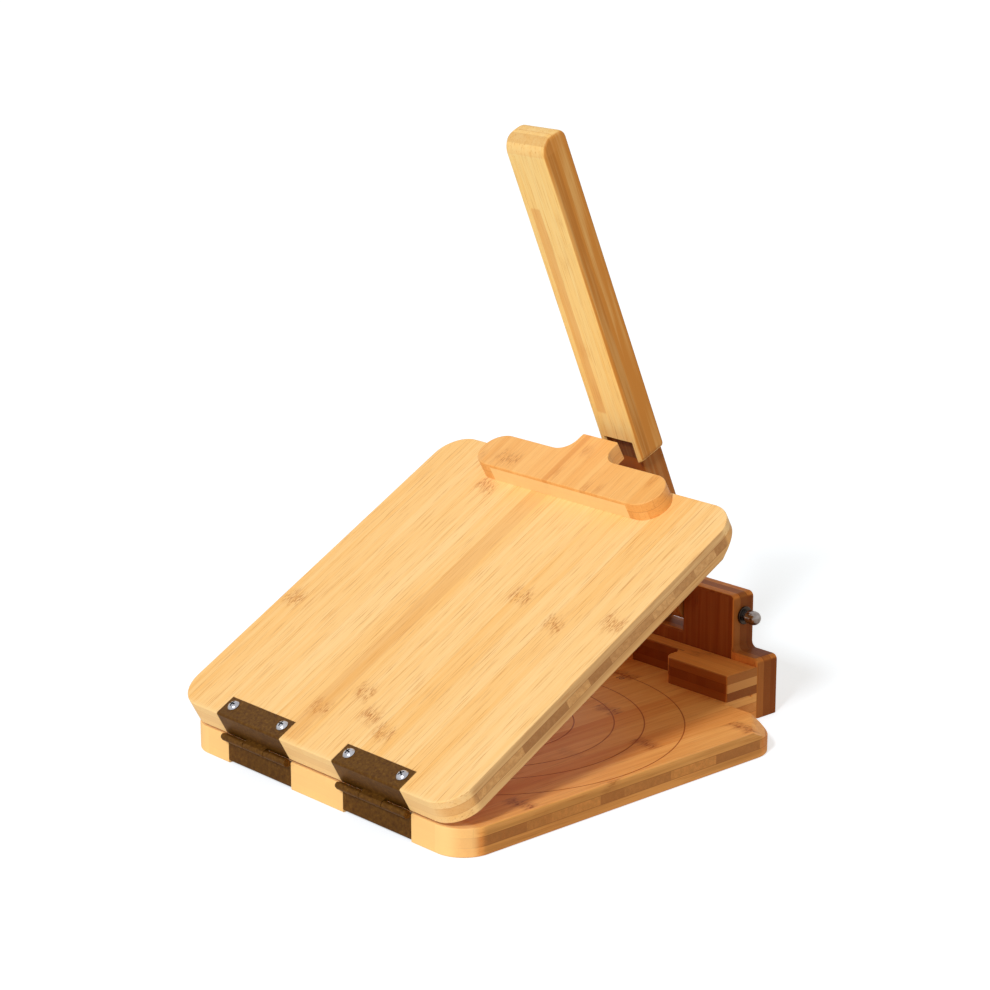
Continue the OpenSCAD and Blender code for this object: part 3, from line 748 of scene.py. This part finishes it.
def hinge_seats(strip_low, strip_high, plate_low, plate_high):
    """Blocks that let the strips and plates of both hinges into a board."""
    shells = []
    for x in (-HINGE_X, HINGE_X):
        for reach, low, high in ((STRIP_LEN, strip_low, strip_high), (LEAF_T, plate_low, plate_high)):
            shells.append(box((x - LEAF_HALF, REAR - CLEAR, low), (x + LEAF_HALF, REAR + reach, high)))
    return shells


base = solid("base_board_eased", plate(board_outline(FRONT), 0, BASE_T, BASE_EASE, BASE_EASE))
tab = both_sides([(TAB_HALF, FRONT - TAB_OVERLAP, 0), (TAB_HALF, TAB_FRONT, 0)])
carve(base, solid("tab", plate(tab, 0, BASE_T, TAB_EASE, 0, 2)), "UNION")
carve(base, joined("slopes", finger_slope(FRONT, BASE_T, 1)))
for seat in hinge_seats(-CLEAR, LOW_STRIP + LEAF_T, -CLEAR, BASE_T + CLEAR):
    carve(base, joined("seat", [seat]))
for r in RING_RADII:
    low, high = BASE_T - LINE_DEEP, BASE_T + 1 * MM
    section = [(r - LINE_HALF, low), (r + LINE_HALF, low), (r + LINE_HALF, high), (r - LINE_HALF, high)]
    carve(base, solid("ring", turned(section, 180, True)))
finish(base, "base", "bamboo", base_wood, "base_board")

# %% [markdown]
# ## Lid board
# The lid is the same board without a tab, and its finger grips slope on the underside. The helpers of the
# base serve again. It is drawn shut, where its edges lie along the axes, and then tilted in its mesh.

# %% Lid board
LID_EASE = 0.8 * MM
lid = solid("lid_board_eased", plate(board_outline(LID_FRONT), LID_LOW, LID_TOP, LID_EASE, LID_EASE))
carve(lid, joined("slopes", finger_slope(LID_FRONT, LID_LOW, -1)))
for seat in hinge_seats(LID_TOP - LEAF_T, LID_TOP + CLEAR, LID_LOW - CLEAR, LID_TOP + CLEAR):
    carve(lid, joined("seat", [seat]))
lid.data.transform(SHUT_LID)
finish(lid, "lid", "bamboo", lid_wood, "lid_board")

# %% [markdown]
# ## Press block
# The press block is glued across the free end of the lid. Its ends are full rounds and its tongue, which
# the lever presses on, runs into it with hollows. All of these are corners with radii, so one outline gives
# the whole block and nothing has to be cut.

# %% Press block
BLOCK_HALF, BLOCK_DEEP, BLOCK_HIGH, BLOCK_END_R = 81 * MM, 29 * MM, 13 * MM, 14.49 * MM
TONGUE_HALF, TONGUE_OUT, TONGUE_R, HOLLOW_R = 16 * MM, 17.7 * MM, 1.6 * MM, 11.5 * MM
BLOCK_FOOT_EASE, BLOCK_EASE = 0.2 * MM, 0.7 * MM
block_points = both_sides([
    (BLOCK_HALF, LID_FRONT - BLOCK_DEEP, BLOCK_END_R), (BLOCK_HALF, LID_FRONT, BLOCK_END_R),
    (TONGUE_HALF, LID_FRONT, HOLLOW_R), (TONGUE_HALF, LID_FRONT + TONGUE_OUT, TONGUE_R)])
block_shape = plate(block_points, LID_TOP, LID_TOP + BLOCK_HIGH, BLOCK_FOOT_EASE, BLOCK_EASE)
block = solid("press_block_eased", block_shape, SHUT_LID)
finish(block, "lid", "bamboo", block_wood, "press_block")

# %% [markdown]
# ## Stop block
# The stop block lies on the tab and has a recess with a rounded mouth for the tongue. It could be a block
# with a cut, but as one outline its eased rim runs through the recess without a break.

# %% Stop block
STOP_REAR, STOP_TOP, STOP_R, STOP_EASE = 137.8, 35.7 * MM, 1.2, 0.8 * MM
RECESS_HALF, RECESS_END, MOUTH_R, RECESS_R = 23.5, 155.2, 8, 5.5
STOP_HALF, STOP_FRONT = TAB_HALF / MM, TAB_FRONT / MM
stop_points = outline(in_mm([
    (-STOP_HALF, STOP_REAR, STOP_R), (-RECESS_HALF, STOP_REAR, MOUTH_R),
    (-RECESS_HALF, RECESS_END, RECESS_R), (RECESS_HALF, RECESS_END, RECESS_R),
    (RECESS_HALF, STOP_REAR, MOUTH_R), (STOP_HALF, STOP_REAR, STOP_R),
    (STOP_HALF, STOP_FRONT, 0), (-STOP_HALF, STOP_FRONT, 0)]))
stop = solid("stop_block_eased", plate(stop_points, BASE_T, STOP_TOP, 0, STOP_EASE))
finish(stop, "base", "bamboo_edge", stop_wood, "stop_block")

# %% [markdown]
# ## Upright
# The upright stands against base and stop block and is slotted for the lever. Its outline lies in X and Z,
# so the plate is drawn flat and turned upright. The slot belongs to the outline, which eases its edges too,
# and only the bore for the pivot rod is cut.

# %% Upright
UPRIGHT_HALF, POST_HALF, SHOULDER, POST_TOP, POST_R = 81, 59, 40.5, 78.5, 4
SLOT_HALF, SLOT_FLOOR, SLOT_R, SLOT_FLOOR_R = 13.4, 44.5, 2.2, 0.8
UPRIGHT_T, UPRIGHT_EASE_IN, UPRIGHT_EASE_OUT = 20 * MM, 1.6 * MM, 1.8 * MM


def bore_cutter(place):
    """A long bar along X, as thick as the bore for the pivot rod."""
    reach = 100 * MM
    section = [(0, -reach), (ROD_BORE_R, -reach), (ROD_BORE_R, reach), (0, reach)]
    return solid("bore", turned(section), place @ ALONG_X)


upright_points = both_sides(in_mm([
    (UPRIGHT_HALF, 0, 0), (UPRIGHT_HALF, SHOULDER, POST_R), (POST_HALF, SHOULDER, POST_R),
    (POST_HALF, POST_TOP, POST_R), (SLOT_HALF, POST_TOP, SLOT_R), (SLOT_HALF, SLOT_FLOOR, SLOT_FLOOR_R)]))
upright_shape = plate(upright_points, TAB_FRONT, TAB_FRONT + UPRIGHT_T, UPRIGHT_EASE_IN, UPRIGHT_EASE_OUT)
upright = solid("upright_eased", upright_shape, OUTLINE_IN_XZ)
carve(upright, bore_cutter(ON_PIVOT))
finish(upright, "base", "bamboo_edge", upright_wood, "upright")

# %% [markdown]
# ## Lever
# The grip is a thick bar with its edges taken off and its end sanded to a pillow. A bevel would round all
# edges of the end alike, so the grip is a stack of rounded sections: they widen out of the neck below and
# shrink along arcs at the top. The neck is a plate on its side, with the round foot at the pivot and the
# nose that presses the tongue. A notch in the grip's rear face makes room for the tongue.

# %% Lever
GRIP_HALF, GRIP_REAR, GRIP_FRONT, GRIP_R = 17.4, -8, 13.9, 2.4
GRIP_LOW, GRIP_TOP, FLARE_R = 116, 350.9, 4.35
ROUND_SIDE, ROUND_REAR, ROUND_FRONT = 3.2, 11.5, 7
NECK_HALF, NECK_REAR, NECK_TOP, NOTCH_TOP = 13, -4.6, 117.5, 131.8
FOOT, FOOT_R, NECK_EASE = 13.87, 13.8, 0.6 * MM
NOSE_TOP, NOSE_TOP_R, NOSE_LOW, NOSE_LOW_R = 62, 9, 40, 7


def bar_section(half, rear, front, r, height):
    """One rounded section of the grip, level at this height."""
    corners = both_sides(in_mm([(half, rear, r), (half, front, r)]))
    return [(x, y, height * MM) for x, y in corners]


def drawn_in(radius, height):
    """How far a rounded edge has moved in at a height below the top."""
    over = max(0, height - (GRIP_TOP - radius))
    return radius - math.sqrt(radius * radius - over * over)


sections = []
for k in range(6):
    rise = FLARE_R * (1 - math.cos(math.pi / 2 * k / 5))
    half = GRIP_HALF - FLARE_R + math.sqrt(FLARE_R ** 2 - (FLARE_R - rise) ** 2)
    sections.append((half, GRIP_REAR, GRIP_FRONT, GRIP_R, GRIP_LOW + rise))
sections += [(GRIP_HALF, GRIP_REAR, GRIP_FRONT, GRIP_R, h) for h in (132, 180, 230, 280, 320)]
for k in range(25):
    height = GRIP_TOP - ROUND_REAR * (1 - math.sin(math.pi / 2 * k / 24))
    rear, front = GRIP_REAR + drawn_in(ROUND_REAR, height), GRIP_FRONT - drawn_in(ROUND_FRONT, height)
    half, r = GRIP_HALF - drawn_in(ROUND_SIDE, height), min(GRIP_R, 0.48 * (front - rear))
    sections.append((half, rear, front, r, height))
lever = solid("lever_handle_eased", stacked([bar_section(*each) for each in sections]))
notch_low, notch_high = in_mm([(-NECK_HALF, -20, 100), (NECK_HALF, NECK_REAR, NOTCH_TOP)])
carve(lever, joined("notch", [box(notch_low, notch_high)]))
neck_points = outline(in_mm([
    (-FOOT, -FOOT, FOOT_R), (FOOT, -FOOT, FOOT_R), (FOOT, NECK_TOP, 1), (NECK_REAR, NECK_TOP, 1),
    (NECK_REAR, NOSE_TOP, NOSE_TOP_R), (-FOOT, NOSE_LOW, NOSE_LOW_R)]))
neck_shape = plate(neck_points, -NECK_HALF * MM, NECK_HALF * MM, NECK_EASE, NECK_EASE)
neck = solid("neck", neck_shape, OUTLINE_IN_YZ)
carve(neck, bore_cutter(STILL))
merged(lever, neck)
lever.data.transform(UPRIGHT_LEVER)
finish(lever, "lever", "bamboo", lever_wood, "lever_handle")

# %% [markdown]
# ## Hinges
# Each leaf is one bent sheet: a strip on the face of the board, a plate down its edge, and knuckles that
# are rolled round the pin. A flat sheet could be bent and thickened, but a plate whose outline is drawn in
# Y and Z gives each bend its own radius. The knuckles are turned tubes with webs to the sheet, and the pin
# is a turned rod with a small head.

# %% Hinge leaves and pins
KNUCKLE_R, PIN_BORE_R = 2.5 * MM, 1.25 * MM
UPPER_KNUCKLE, LOWER_KNUCKLE = 10.1 * MM, 10.42 * MM  # end of the one and start of the others
WEB = KNUCKLE_R - 0.05 * MM
BEND_R, TIP_R, INNER_R = 1.5 * MM, 0.3 * MM, 0.4 * MM
PIN_SHAPE = [(0, -32.75), (1.5, -32.75), (2.0, -32.4), (2.1, -32), (2.1, -31.5), (1.9, -31.3),
             (1.2, -31.25), (1.2, 30.9), (0.9, 31.25), (0, 31.25)]


def knuckle(low, high):
    """A hollow tube along the pin between two places."""
    rim = [(PIN_BORE_R, 0.1 * MM), (KNUCKLE_R - 0.4 * MM, 0), (KNUCKLE_R - 0.12 * MM, 0.12 * MM),
           (KNUCKLE_R, 0.4 * MM)]
    section = [(r, low + z) for r, z in rim] + [(r, high - z) for r, z in rim[::-1]]
    return (*turned(section, 40, True), Matrix.Translation(PIN) @ ALONG_X)


def bent_sheet(corners, x):
    points = outline([(REAR + y, z, r) for y, z, r in corners])
    return (*plate(points, x - LEAF_HALF, x + LEAF_HALF, TIP_R, TIP_R, 2), OUTLINE_IN_YZ)


strip_under, strip_over = LID_TOP - LEAF_T, LOW_STRIP + LEAF_T
web_end = REAR + LEAF_T / 2
for side, x in (("left", -HINGE_X), ("right", HINGE_X)):
    upper = [bent_sheet([(0, LID_LOW, TIP_R), (LEAF_T, LID_LOW, TIP_R), (LEAF_T, strip_under, INNER_R),
                         (STRIP_LEN, strip_under, TIP_R), (STRIP_LEN, LID_TOP, 0.5 * MM),
                         (0, LID_TOP, BEND_R)], x),
             knuckle(x - UPPER_KNUCKLE, x + UPPER_KNUCKLE),
             box((x - UPPER_KNUCKLE, PIN.y, LID_LOW), (x + UPPER_KNUCKLE, web_end, PIN.z + WEB))]
    leaf = joined("upper_leaf_" + side, upper, SHUT_LID)
    finish(leaf, "lid", "bronzed_steel", bronze, "hinge_upper_leaf_" + side)
    lower = [bent_sheet([(0, LOW_STRIP, BEND_R), (STRIP_LEN, LOW_STRIP, TIP_R),
                         (STRIP_LEN, strip_over, TIP_R), (LEAF_T, strip_over, INNER_R),
                         (LEAF_T, BASE_T, TIP_R), (0, BASE_T, TIP_R)], x)]
    for a, b in ((-LEAF_HALF, -LOWER_KNUCKLE), (LOWER_KNUCKLE, LEAF_HALF)):
        lower.append(knuckle(x + a, x + b))
        lower.append(box((x + a, PIN.y, PIN.z - WEB), (x + b, web_end, BASE_T)))
    leaf = joined("lower_leaf_" + side, lower)
    finish(leaf, "base", "bronzed_steel", bronze, "hinge_lower_leaf_" + side)
    pin = solid("pin_" + side, turned(in_mm(PIN_SHAPE), 32),
                Matrix.Translation((x, PIN.y, PIN.z)) @ ALONG_X)
    finish(pin, "base", "bronzed_steel", bronze, "hinge_pin_" + side)

# %% [markdown]
# ## Screws, washers and cap nuts
# These repeat, so Geometry Nodes place them: one tree sets a screw at both ends of both leaves, turned by
# chance with a fixed seed, and one sets a piece on each end of the pivot rod, facing outwards. The trees
# end in real geometry, which is then turned into a plain mesh.

# %% Two placing trees
def placing_tree(name, numbers):
    """An empty tree with a piece, a finish and some named numbers as inputs."""
    tree = bpy.data.node_groups.new(name, "GeometryNodeTree")
    inputs = [("Piece", "Object"), ("Finish", "Material")] + [(label, "Float") for label in numbers]
    for label, kind in inputs:
        tree.interface.new_socket(name=label, in_out="INPUT", socket_type="NodeSocket" + kind)
    tree.interface.new_socket(name="Geometry", in_out="OUTPUT", socket_type="NodeSocketGeometry")
    return Wire(tree), tree.nodes.new("NodeGroupInput")


def line_of_two(w, length):
    """Two points along X, this far apart, about the middle."""
    start = w.make("ShaderNodeCombineXYZ", (), {0: length * -0.5})
    step = w.make("ShaderNodeCombineXYZ", (), {0: length})
    return w.make("GeometryNodeMeshLine", (), {"Count": 2, "Start Location": start, "Offset": step})


def end_tree(w, given, points, rotation):
    """Sets the piece on the points, makes it real and gives it its finish."""
    chosen, coat = Wire(w.tree, given.outputs["Piece"]), Wire(w.tree, given.outputs["Finish"])
    piece = w.make("GeometryNodeObjectInfo", (), {"Object": chosen}, "Geometry")
    placed = w.make("GeometryNodeInstanceOnPoints", (),
                    {"Points": points, "Instance": piece, "Rotation": rotation})
    real = w.make("GeometryNodeRealizeInstances", (), {0: placed})
    done = w.make("GeometryNodeSetMaterial", (), {"Geometry": real, "Material": coat})
    w.tree.links.new(done.socket, w.tree.nodes.new("NodeGroupOutput").inputs[0])
    return w.tree


w, given = placing_tree("screws of two leaves", ["Hinge pitch", "Screw pitch", "Turn"])
rows = line_of_two(w, Wire(w.tree, given.outputs["Hinge pitch"]))
ends = line_of_two(w, Wire(w.tree, given.outputs["Screw pitch"]))
spread = w.make("GeometryNodeInstanceOnPoints", (), {"Points": rows, "Instance": ends})
spread = w.make("GeometryNodeRealizeInstances", (), {0: spread})
most = w.make("ShaderNodeCombineXYZ", (), {2: Wire(w.tree, given.outputs["Turn"])})
chance = w.make("FunctionNodeRandomValue", {"data_type": "FLOAT_VECTOR"},
                {0: (0, 0, 0), 1: most, "Seed": 5})
screw_tree = end_tree(w, given, spread, chance)

w, given = placing_tree("facing pair", ["Distance"])
two = line_of_two(w, Wire(w.tree, given.outputs["Distance"]))
half_turn = (1 - w.make("GeometryNodeInputIndex")) * math.pi
pair_tree = end_tree(w, given, two, w.make("ShaderNodeCombineXYZ", (), {2: half_turn}))


def grown(name, tree, place, **values):
    """The mesh that a placing tree makes, moved to its place."""
    host = bpy.data.objects.new(name, bpy.data.meshes.new(name))
    scene.collection.objects.link(host)
    step = host.modifiers.new("place", "NODES")
    step.node_group = tree
    for item in tree.interface.items_tree:
        if item.item_type == "SOCKET" and item.in_out == "INPUT":
            step[item.identifier] = values[item.name.replace(" ", "_")]
    bpy.context.view_layer.update()
    settled(host)
    host.data.transform(place)
    bpy.data.objects.remove(values["Piece"])
    print(name, len(host.data.vertices), "points")
    return host


print("placing trees:", screw_tree.name, "and", pair_tree.name)

# %% [markdown]
# ### Screws of the leaves
# The screws of the lid leaves have domed heads with a cross and are seen from above. Those of the base
# leaves are flat and sit underneath. A thread would be far too fine to see, so turned ridges stand for it.
# The faces of the cross are marked, and the finish paints shade on what is marked.

# %% Screws of the leaves
SCREW_IN, SCREW_PITCH, SCREW_LEN = 9.5 * MM, 48.5 * MM, 12
DOMED_HEAD, FLAT_HEAD = (4, 2.4), (3.5, 1)
SHANK_R, ROOT_R, RIDGE = 1.75, 1.45, 0.9
ARM_LONG, ARM_HALF = 2.1, 0.5


def screw(head, length, flat):
    """A cross-head screw with its head on Z = 0 and its shank below."""
    half, high = head
    if flat:
        dome = [(half, 0), (half, high * 0.35), (half - 0.3, high * 0.8), (half - 0.8, high), (0, high)]
    else:
        ball = (half * half + high * high) / (2 * high)
        dome = [(half - 0.25, 0), (half, 0.12), (half, 0.35)]
        dome += [(r, 0.3 + (math.sqrt(ball * ball - r * r) - ball + high) * (high - 0.3) / high)
                 for r in [half * f for f in (0.96, 0.88, 0.76, 0.6, 0.42, 0.22)]] + [(0, high)]
    shank = [(0, -length), (0.6, -length + 1.5), (1.4, -length + 4), (SHANK_R, -length + 5)]
    for k in range(int((length - 6) / RIDGE)):
        z = -length + 5 + RIDGE * k
        shank += [(SHANK_R, z), (ROOT_R, z + RIDGE / 2)]
    shank += [(SHANK_R, -0.8), (SHANK_R, 0)]
    made = solid("screw", turned(in_mm(shank + dome), 32))
    deep = (high * 0.55) * MM
    arm = both_sides(in_mm([(ARM_LONG, -ARM_HALF, 0.2), (ARM_LONG, ARM_HALF, 0.2)]))
    for a in (0, math.pi / 2):
        cross = plate(arm, high * MM - deep, high * MM + MM, 0, 0)
        carve(made, solid("arm", cross, Matrix.Rotation(a, 4, "Z")))
    # The faces inside the cross are marked for painted shade.
    recess_shade = made.data.attributes.new("recess_shade", "FLOAT", "FACE")
    for face in made.data.polygons:
        x, y, z = (abs(v) for v in face.center / MM)
        in_cross = min(x, y) < ARM_HALF + 0.05 and max(x, y) < ARM_LONG + 0.05 and face.center.z > 0
        recess_shade.data[face.index].value = float(in_cross and (face.normal.z < 0.5 or z < high - 0.9))
    made.data.shade_smooth()
    return made


pitches = {"Hinge_pitch": 2 * HINGE_X, "Screw_pitch": SCREW_PITCH, "Turn": math.pi / 2}
top_place = SHUT_LID @ Matrix.Translation((0, REAR + SCREW_IN, LID_TOP))
top_screws = grown("lid_screws", screw_tree, top_place, Piece=screw(DOMED_HEAD, SCREW_LEN, False),
                   Finish=bright, **pitches)
finish(top_screws, "lid", "bright_steel", bright, "lid_hinge_screws")
low_place = Matrix.Translation((0, REAR + SCREW_IN, LOW_STRIP)) @ Matrix.Rotation(math.pi, 4, "X")
low_screws = grown("base_screws", screw_tree, low_place, Piece=screw(FLAT_HEAD, SCREW_LEN, True),
                   Finish=bright, **pitches)
finish(low_screws, "base", "bright_steel", bright, "base_hinge_screws")

# %% [markdown]
# ### Washers and cap nuts
# The pivot rod ends in a washer and a cap nut on each side of the upright. The nut is a hexagon with a dome
# on top. On the real one a lathe takes the corners off; here a turned barrel trims them in the same way.

# %% Washers and cap nuts on the pivot rod
WASHER_T, WASHERS_APART = 1.6, 118 * MM
NUTS_APART = WASHERS_APART + 2 * WASHER_T * MM
NUT_HALF, NUT_HIGH, DOME_R, DOME_FOOT = 5, 5.5, 4.7, 7.3
ring = [(3.05, 0.1), (3.15, 0), (5.8, 0), (6, 0.2), (6, 1.4), (5.8, WASHER_T), (3.15, WASHER_T),
        (3.05, 1.5)]
washer = solid("washer", turned(in_mm(ring), 48, True), ALONG_X)
washers = grown("washers", pair_tree, ON_PIVOT, Piece=washer, Finish=dark_plate, Distance=WASHERS_APART)
finish(washers, "base", "bright_steel", dark_plate, "pivot_washers")

tip = NUT_HALF * MM / math.cos(math.pi / 6)
hexagon = [(tip * math.cos(math.pi / 3 * k), tip * math.sin(math.pi / 3 * k), 0.25 * MM) for k in range(6)]
nut = solid("nut", plate(outline(hexagon), 0, NUT_HIGH * MM, 0.5 * MM, 0.7 * MM), ALONG_X)
barrel = [(0, 0), (5.72, 0), (5.72, 4.6), (5.2, NUT_HIGH), (0, NUT_HIGH)]
carve(nut, solid("chamfer", turned(in_mm(barrel), 64), ALONG_X), "INTERSECT")
dome = [(0, 3), (4.45, 3), (4.45, 5.6), (DOME_R, 5.9), (DOME_R, DOME_FOOT)]
for k in range(1, 10):
    turn = math.pi / 2 * k / 10
    dome.append((DOME_R * math.cos(turn), DOME_FOOT + DOME_R * math.sin(turn)))
cap = solid("cap", turned(in_mm(dome + [(0, DOME_FOOT + DOME_R)]), 48), ALONG_X)
merged(nut, cap)
nuts = grown("cap_nuts_bright", pair_tree, ON_PIVOT, Piece=nut, Finish=cap_plate, Distance=NUTS_APART)
finish(nuts, "base", "bright_steel", cap_plate, "cap_nuts")

# %% [markdown]
# ## Figures on the rings
# Each ring carries its size in small plain figures. They could be carved as the rings are. At this size a
# flat mesh close above the wood looks the same and is simpler, so the text is made a mesh and laid there.

# %% Ring figures
FIGURE_HIGH, FIGURE_IN, FIGURE_LIFT = 6.5 * MM, 7.5 * MM, 0.03 * MM
shells = []
for radius, figure in zip(RING_RADII, ("10", "8", "6.5", "4.5")):
    curve = bpy.data.curves.new("figure", "FONT")
    curve.body, curve.size, curve.align_x = figure, FIGURE_HIGH, "CENTER"
    text = bpy.data.objects.new("figure", curve)
    scene.collection.objects.link(text)
    bpy.context.view_layer.update()
    flat = bpy.data.meshes.new_from_object(text.evaluated_get(bpy.context.evaluated_depsgraph_get()))
    where = Matrix.Translation((0, radius - FIGURE_IN, BASE_T + FIGURE_LIFT))
    shells.append(([tuple(v.co) for v in flat.vertices], [list(p.vertices) for p in flat.polygons], where))
    bpy.data.objects.remove(text)
figures = joined("ring_figures", shells)
for polygon in figures.data.polygons:
    if polygon.normal.z < 0:
        polygon.flip()
figures.data.materials.append(line_ink)
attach(figures, "base")
print("ring figures:", len(figures.data.polygons), "faces")

# %% [markdown]
# ## The pieces inside
# The rod and the dowels are the CAD solids as they are, with their own finishes. They hardly show, so
# drawing them afresh would gain nothing.

# %% Finishes of the carried-over nodes
for name, material in (("pivot_rod", bright), ("stop_block_dowels", dowel_wood),
                       ("upright_dowels", dowel_wood), ("press_block_dowels", dowel_wood)):
    nodes[name].data.materials.clear()
    nodes[name].data.materials.append(material)
    print(name, "->", material.name)

# %% [markdown]
# ## Floor and sky
# The press stands on a white floor that keeps only a soft shadow, under an even white sky. The floor glows
# a little for the camera, so that it stays white without making the light on the wood any stronger.

# %% Floor and sky
FLOOR_HALF, FLOOR_Z, FLOOR_GLOW = 6.0, -0.0002, 0.62
FLOOR_SEEN, FLOOR_BOUNCE = (0.55, 0.61, 0.68), (0.9, 0.88, 0.85)
SKY_TINT, WHITE = (1.0, 0.92, 0.80), (1, 1, 1)
SKY_LIGHT = 0.41  # the sky is white to look at, but lights the wood with this much
floor = bpy.data.objects.new("floor", bpy.data.meshes.new("floor"))
floor.data.from_pydata([(x * FLOOR_HALF, y * FLOOR_HALF, FLOOR_Z)
                        for x, y in ((-1, -1), (1, -1), (1, 1), (-1, 1))], [], [(0, 1, 2, 3)])
scene.collection.objects.link(floor)
paper, w, shader = new_finish("white floor")
w.tree.nodes.remove(shader)
seen = w.make("ShaderNodeLightPath", out="Is Camera Ray")
matt = w.make("ShaderNodeBsdfDiffuse", (), {"Color": seen.mix(FLOOR_BOUNCE, FLOOR_SEEN)})
glow = w.make("ShaderNodeEmission", (), {"Color": colour(WHITE), "Strength": seen * FLOOR_GLOW})
both = w.make("ShaderNodeAddShader", (), {0: matt, 1: glow})
plug(both, w.tree.nodes["Material Output"], "Surface")
floor.data.materials.append(paper)

world = bpy.data.worlds.new("white sky")
scene.world = world
world.use_nodes = True
w = Wire(world.node_tree)
rays = [w.make("ShaderNodeLightPath", out="Is " + k + " Ray") for k in ("Camera", "Glossy", "Transmission")]
direct = rays[0].most(rays[1]).most(rays[2])
sky = world.node_tree.nodes["Background"]
plug(direct.mix(SKY_TINT, WHITE), sky, "Color")
plug(direct * (1 - SKY_LIGHT) + SKY_LIGHT, sky, "Strength")
print("floor and sky:", floor.name, "under", world.name)

# %% [markdown]
# ## Lamp and camera
# One soft lamp shines from the hinge side and a little from the right. It lights the lid and the hinge
# edges fully, and reaches past the lid's right edge to the margin of the base. The camera stands where
# the photograph was taken from.

# %% Lamp and camera
LAMP_POWER, LAMP_WIDTH, LAMP_WAY = 2.08, math.radians(9), (-1.1, 2.9, -2.45)
EYE_AT, EYE_WAY, EYE_LENS, EYE_SENSOR = (1.2220, -1.1061, 0.6218), (-0.7117, 0.6499, -0.2665), 100.6, 36


def facing(way):
    """The rotation of a lamp or camera that looks this way."""
    return Vector(way).to_track_quat("-Z", "Y").to_euler()


key = bpy.data.objects.new("soft key", bpy.data.lights.new("soft key", "SUN"))
key.data.energy, key.data.angle = LAMP_POWER, LAMP_WIDTH
key.rotation_euler = facing(LAMP_WAY)
scene.collection.objects.link(key)

eye = bpy.data.objects.new("camera", bpy.data.cameras.new("camera"))
eye.location, eye.rotation_euler = EYE_AT, facing(EYE_WAY)
eye.data.lens, eye.data.sensor_width, eye.data.sensor_fit = EYE_LENS, EYE_SENSOR, "HORIZONTAL"
eye.data.clip_start = 0.01
scene.collection.objects.link(eye)
scene.camera = eye
scene.view_settings.view_transform = "Standard"
print("camera lens:", eye.data.lens, "mm")
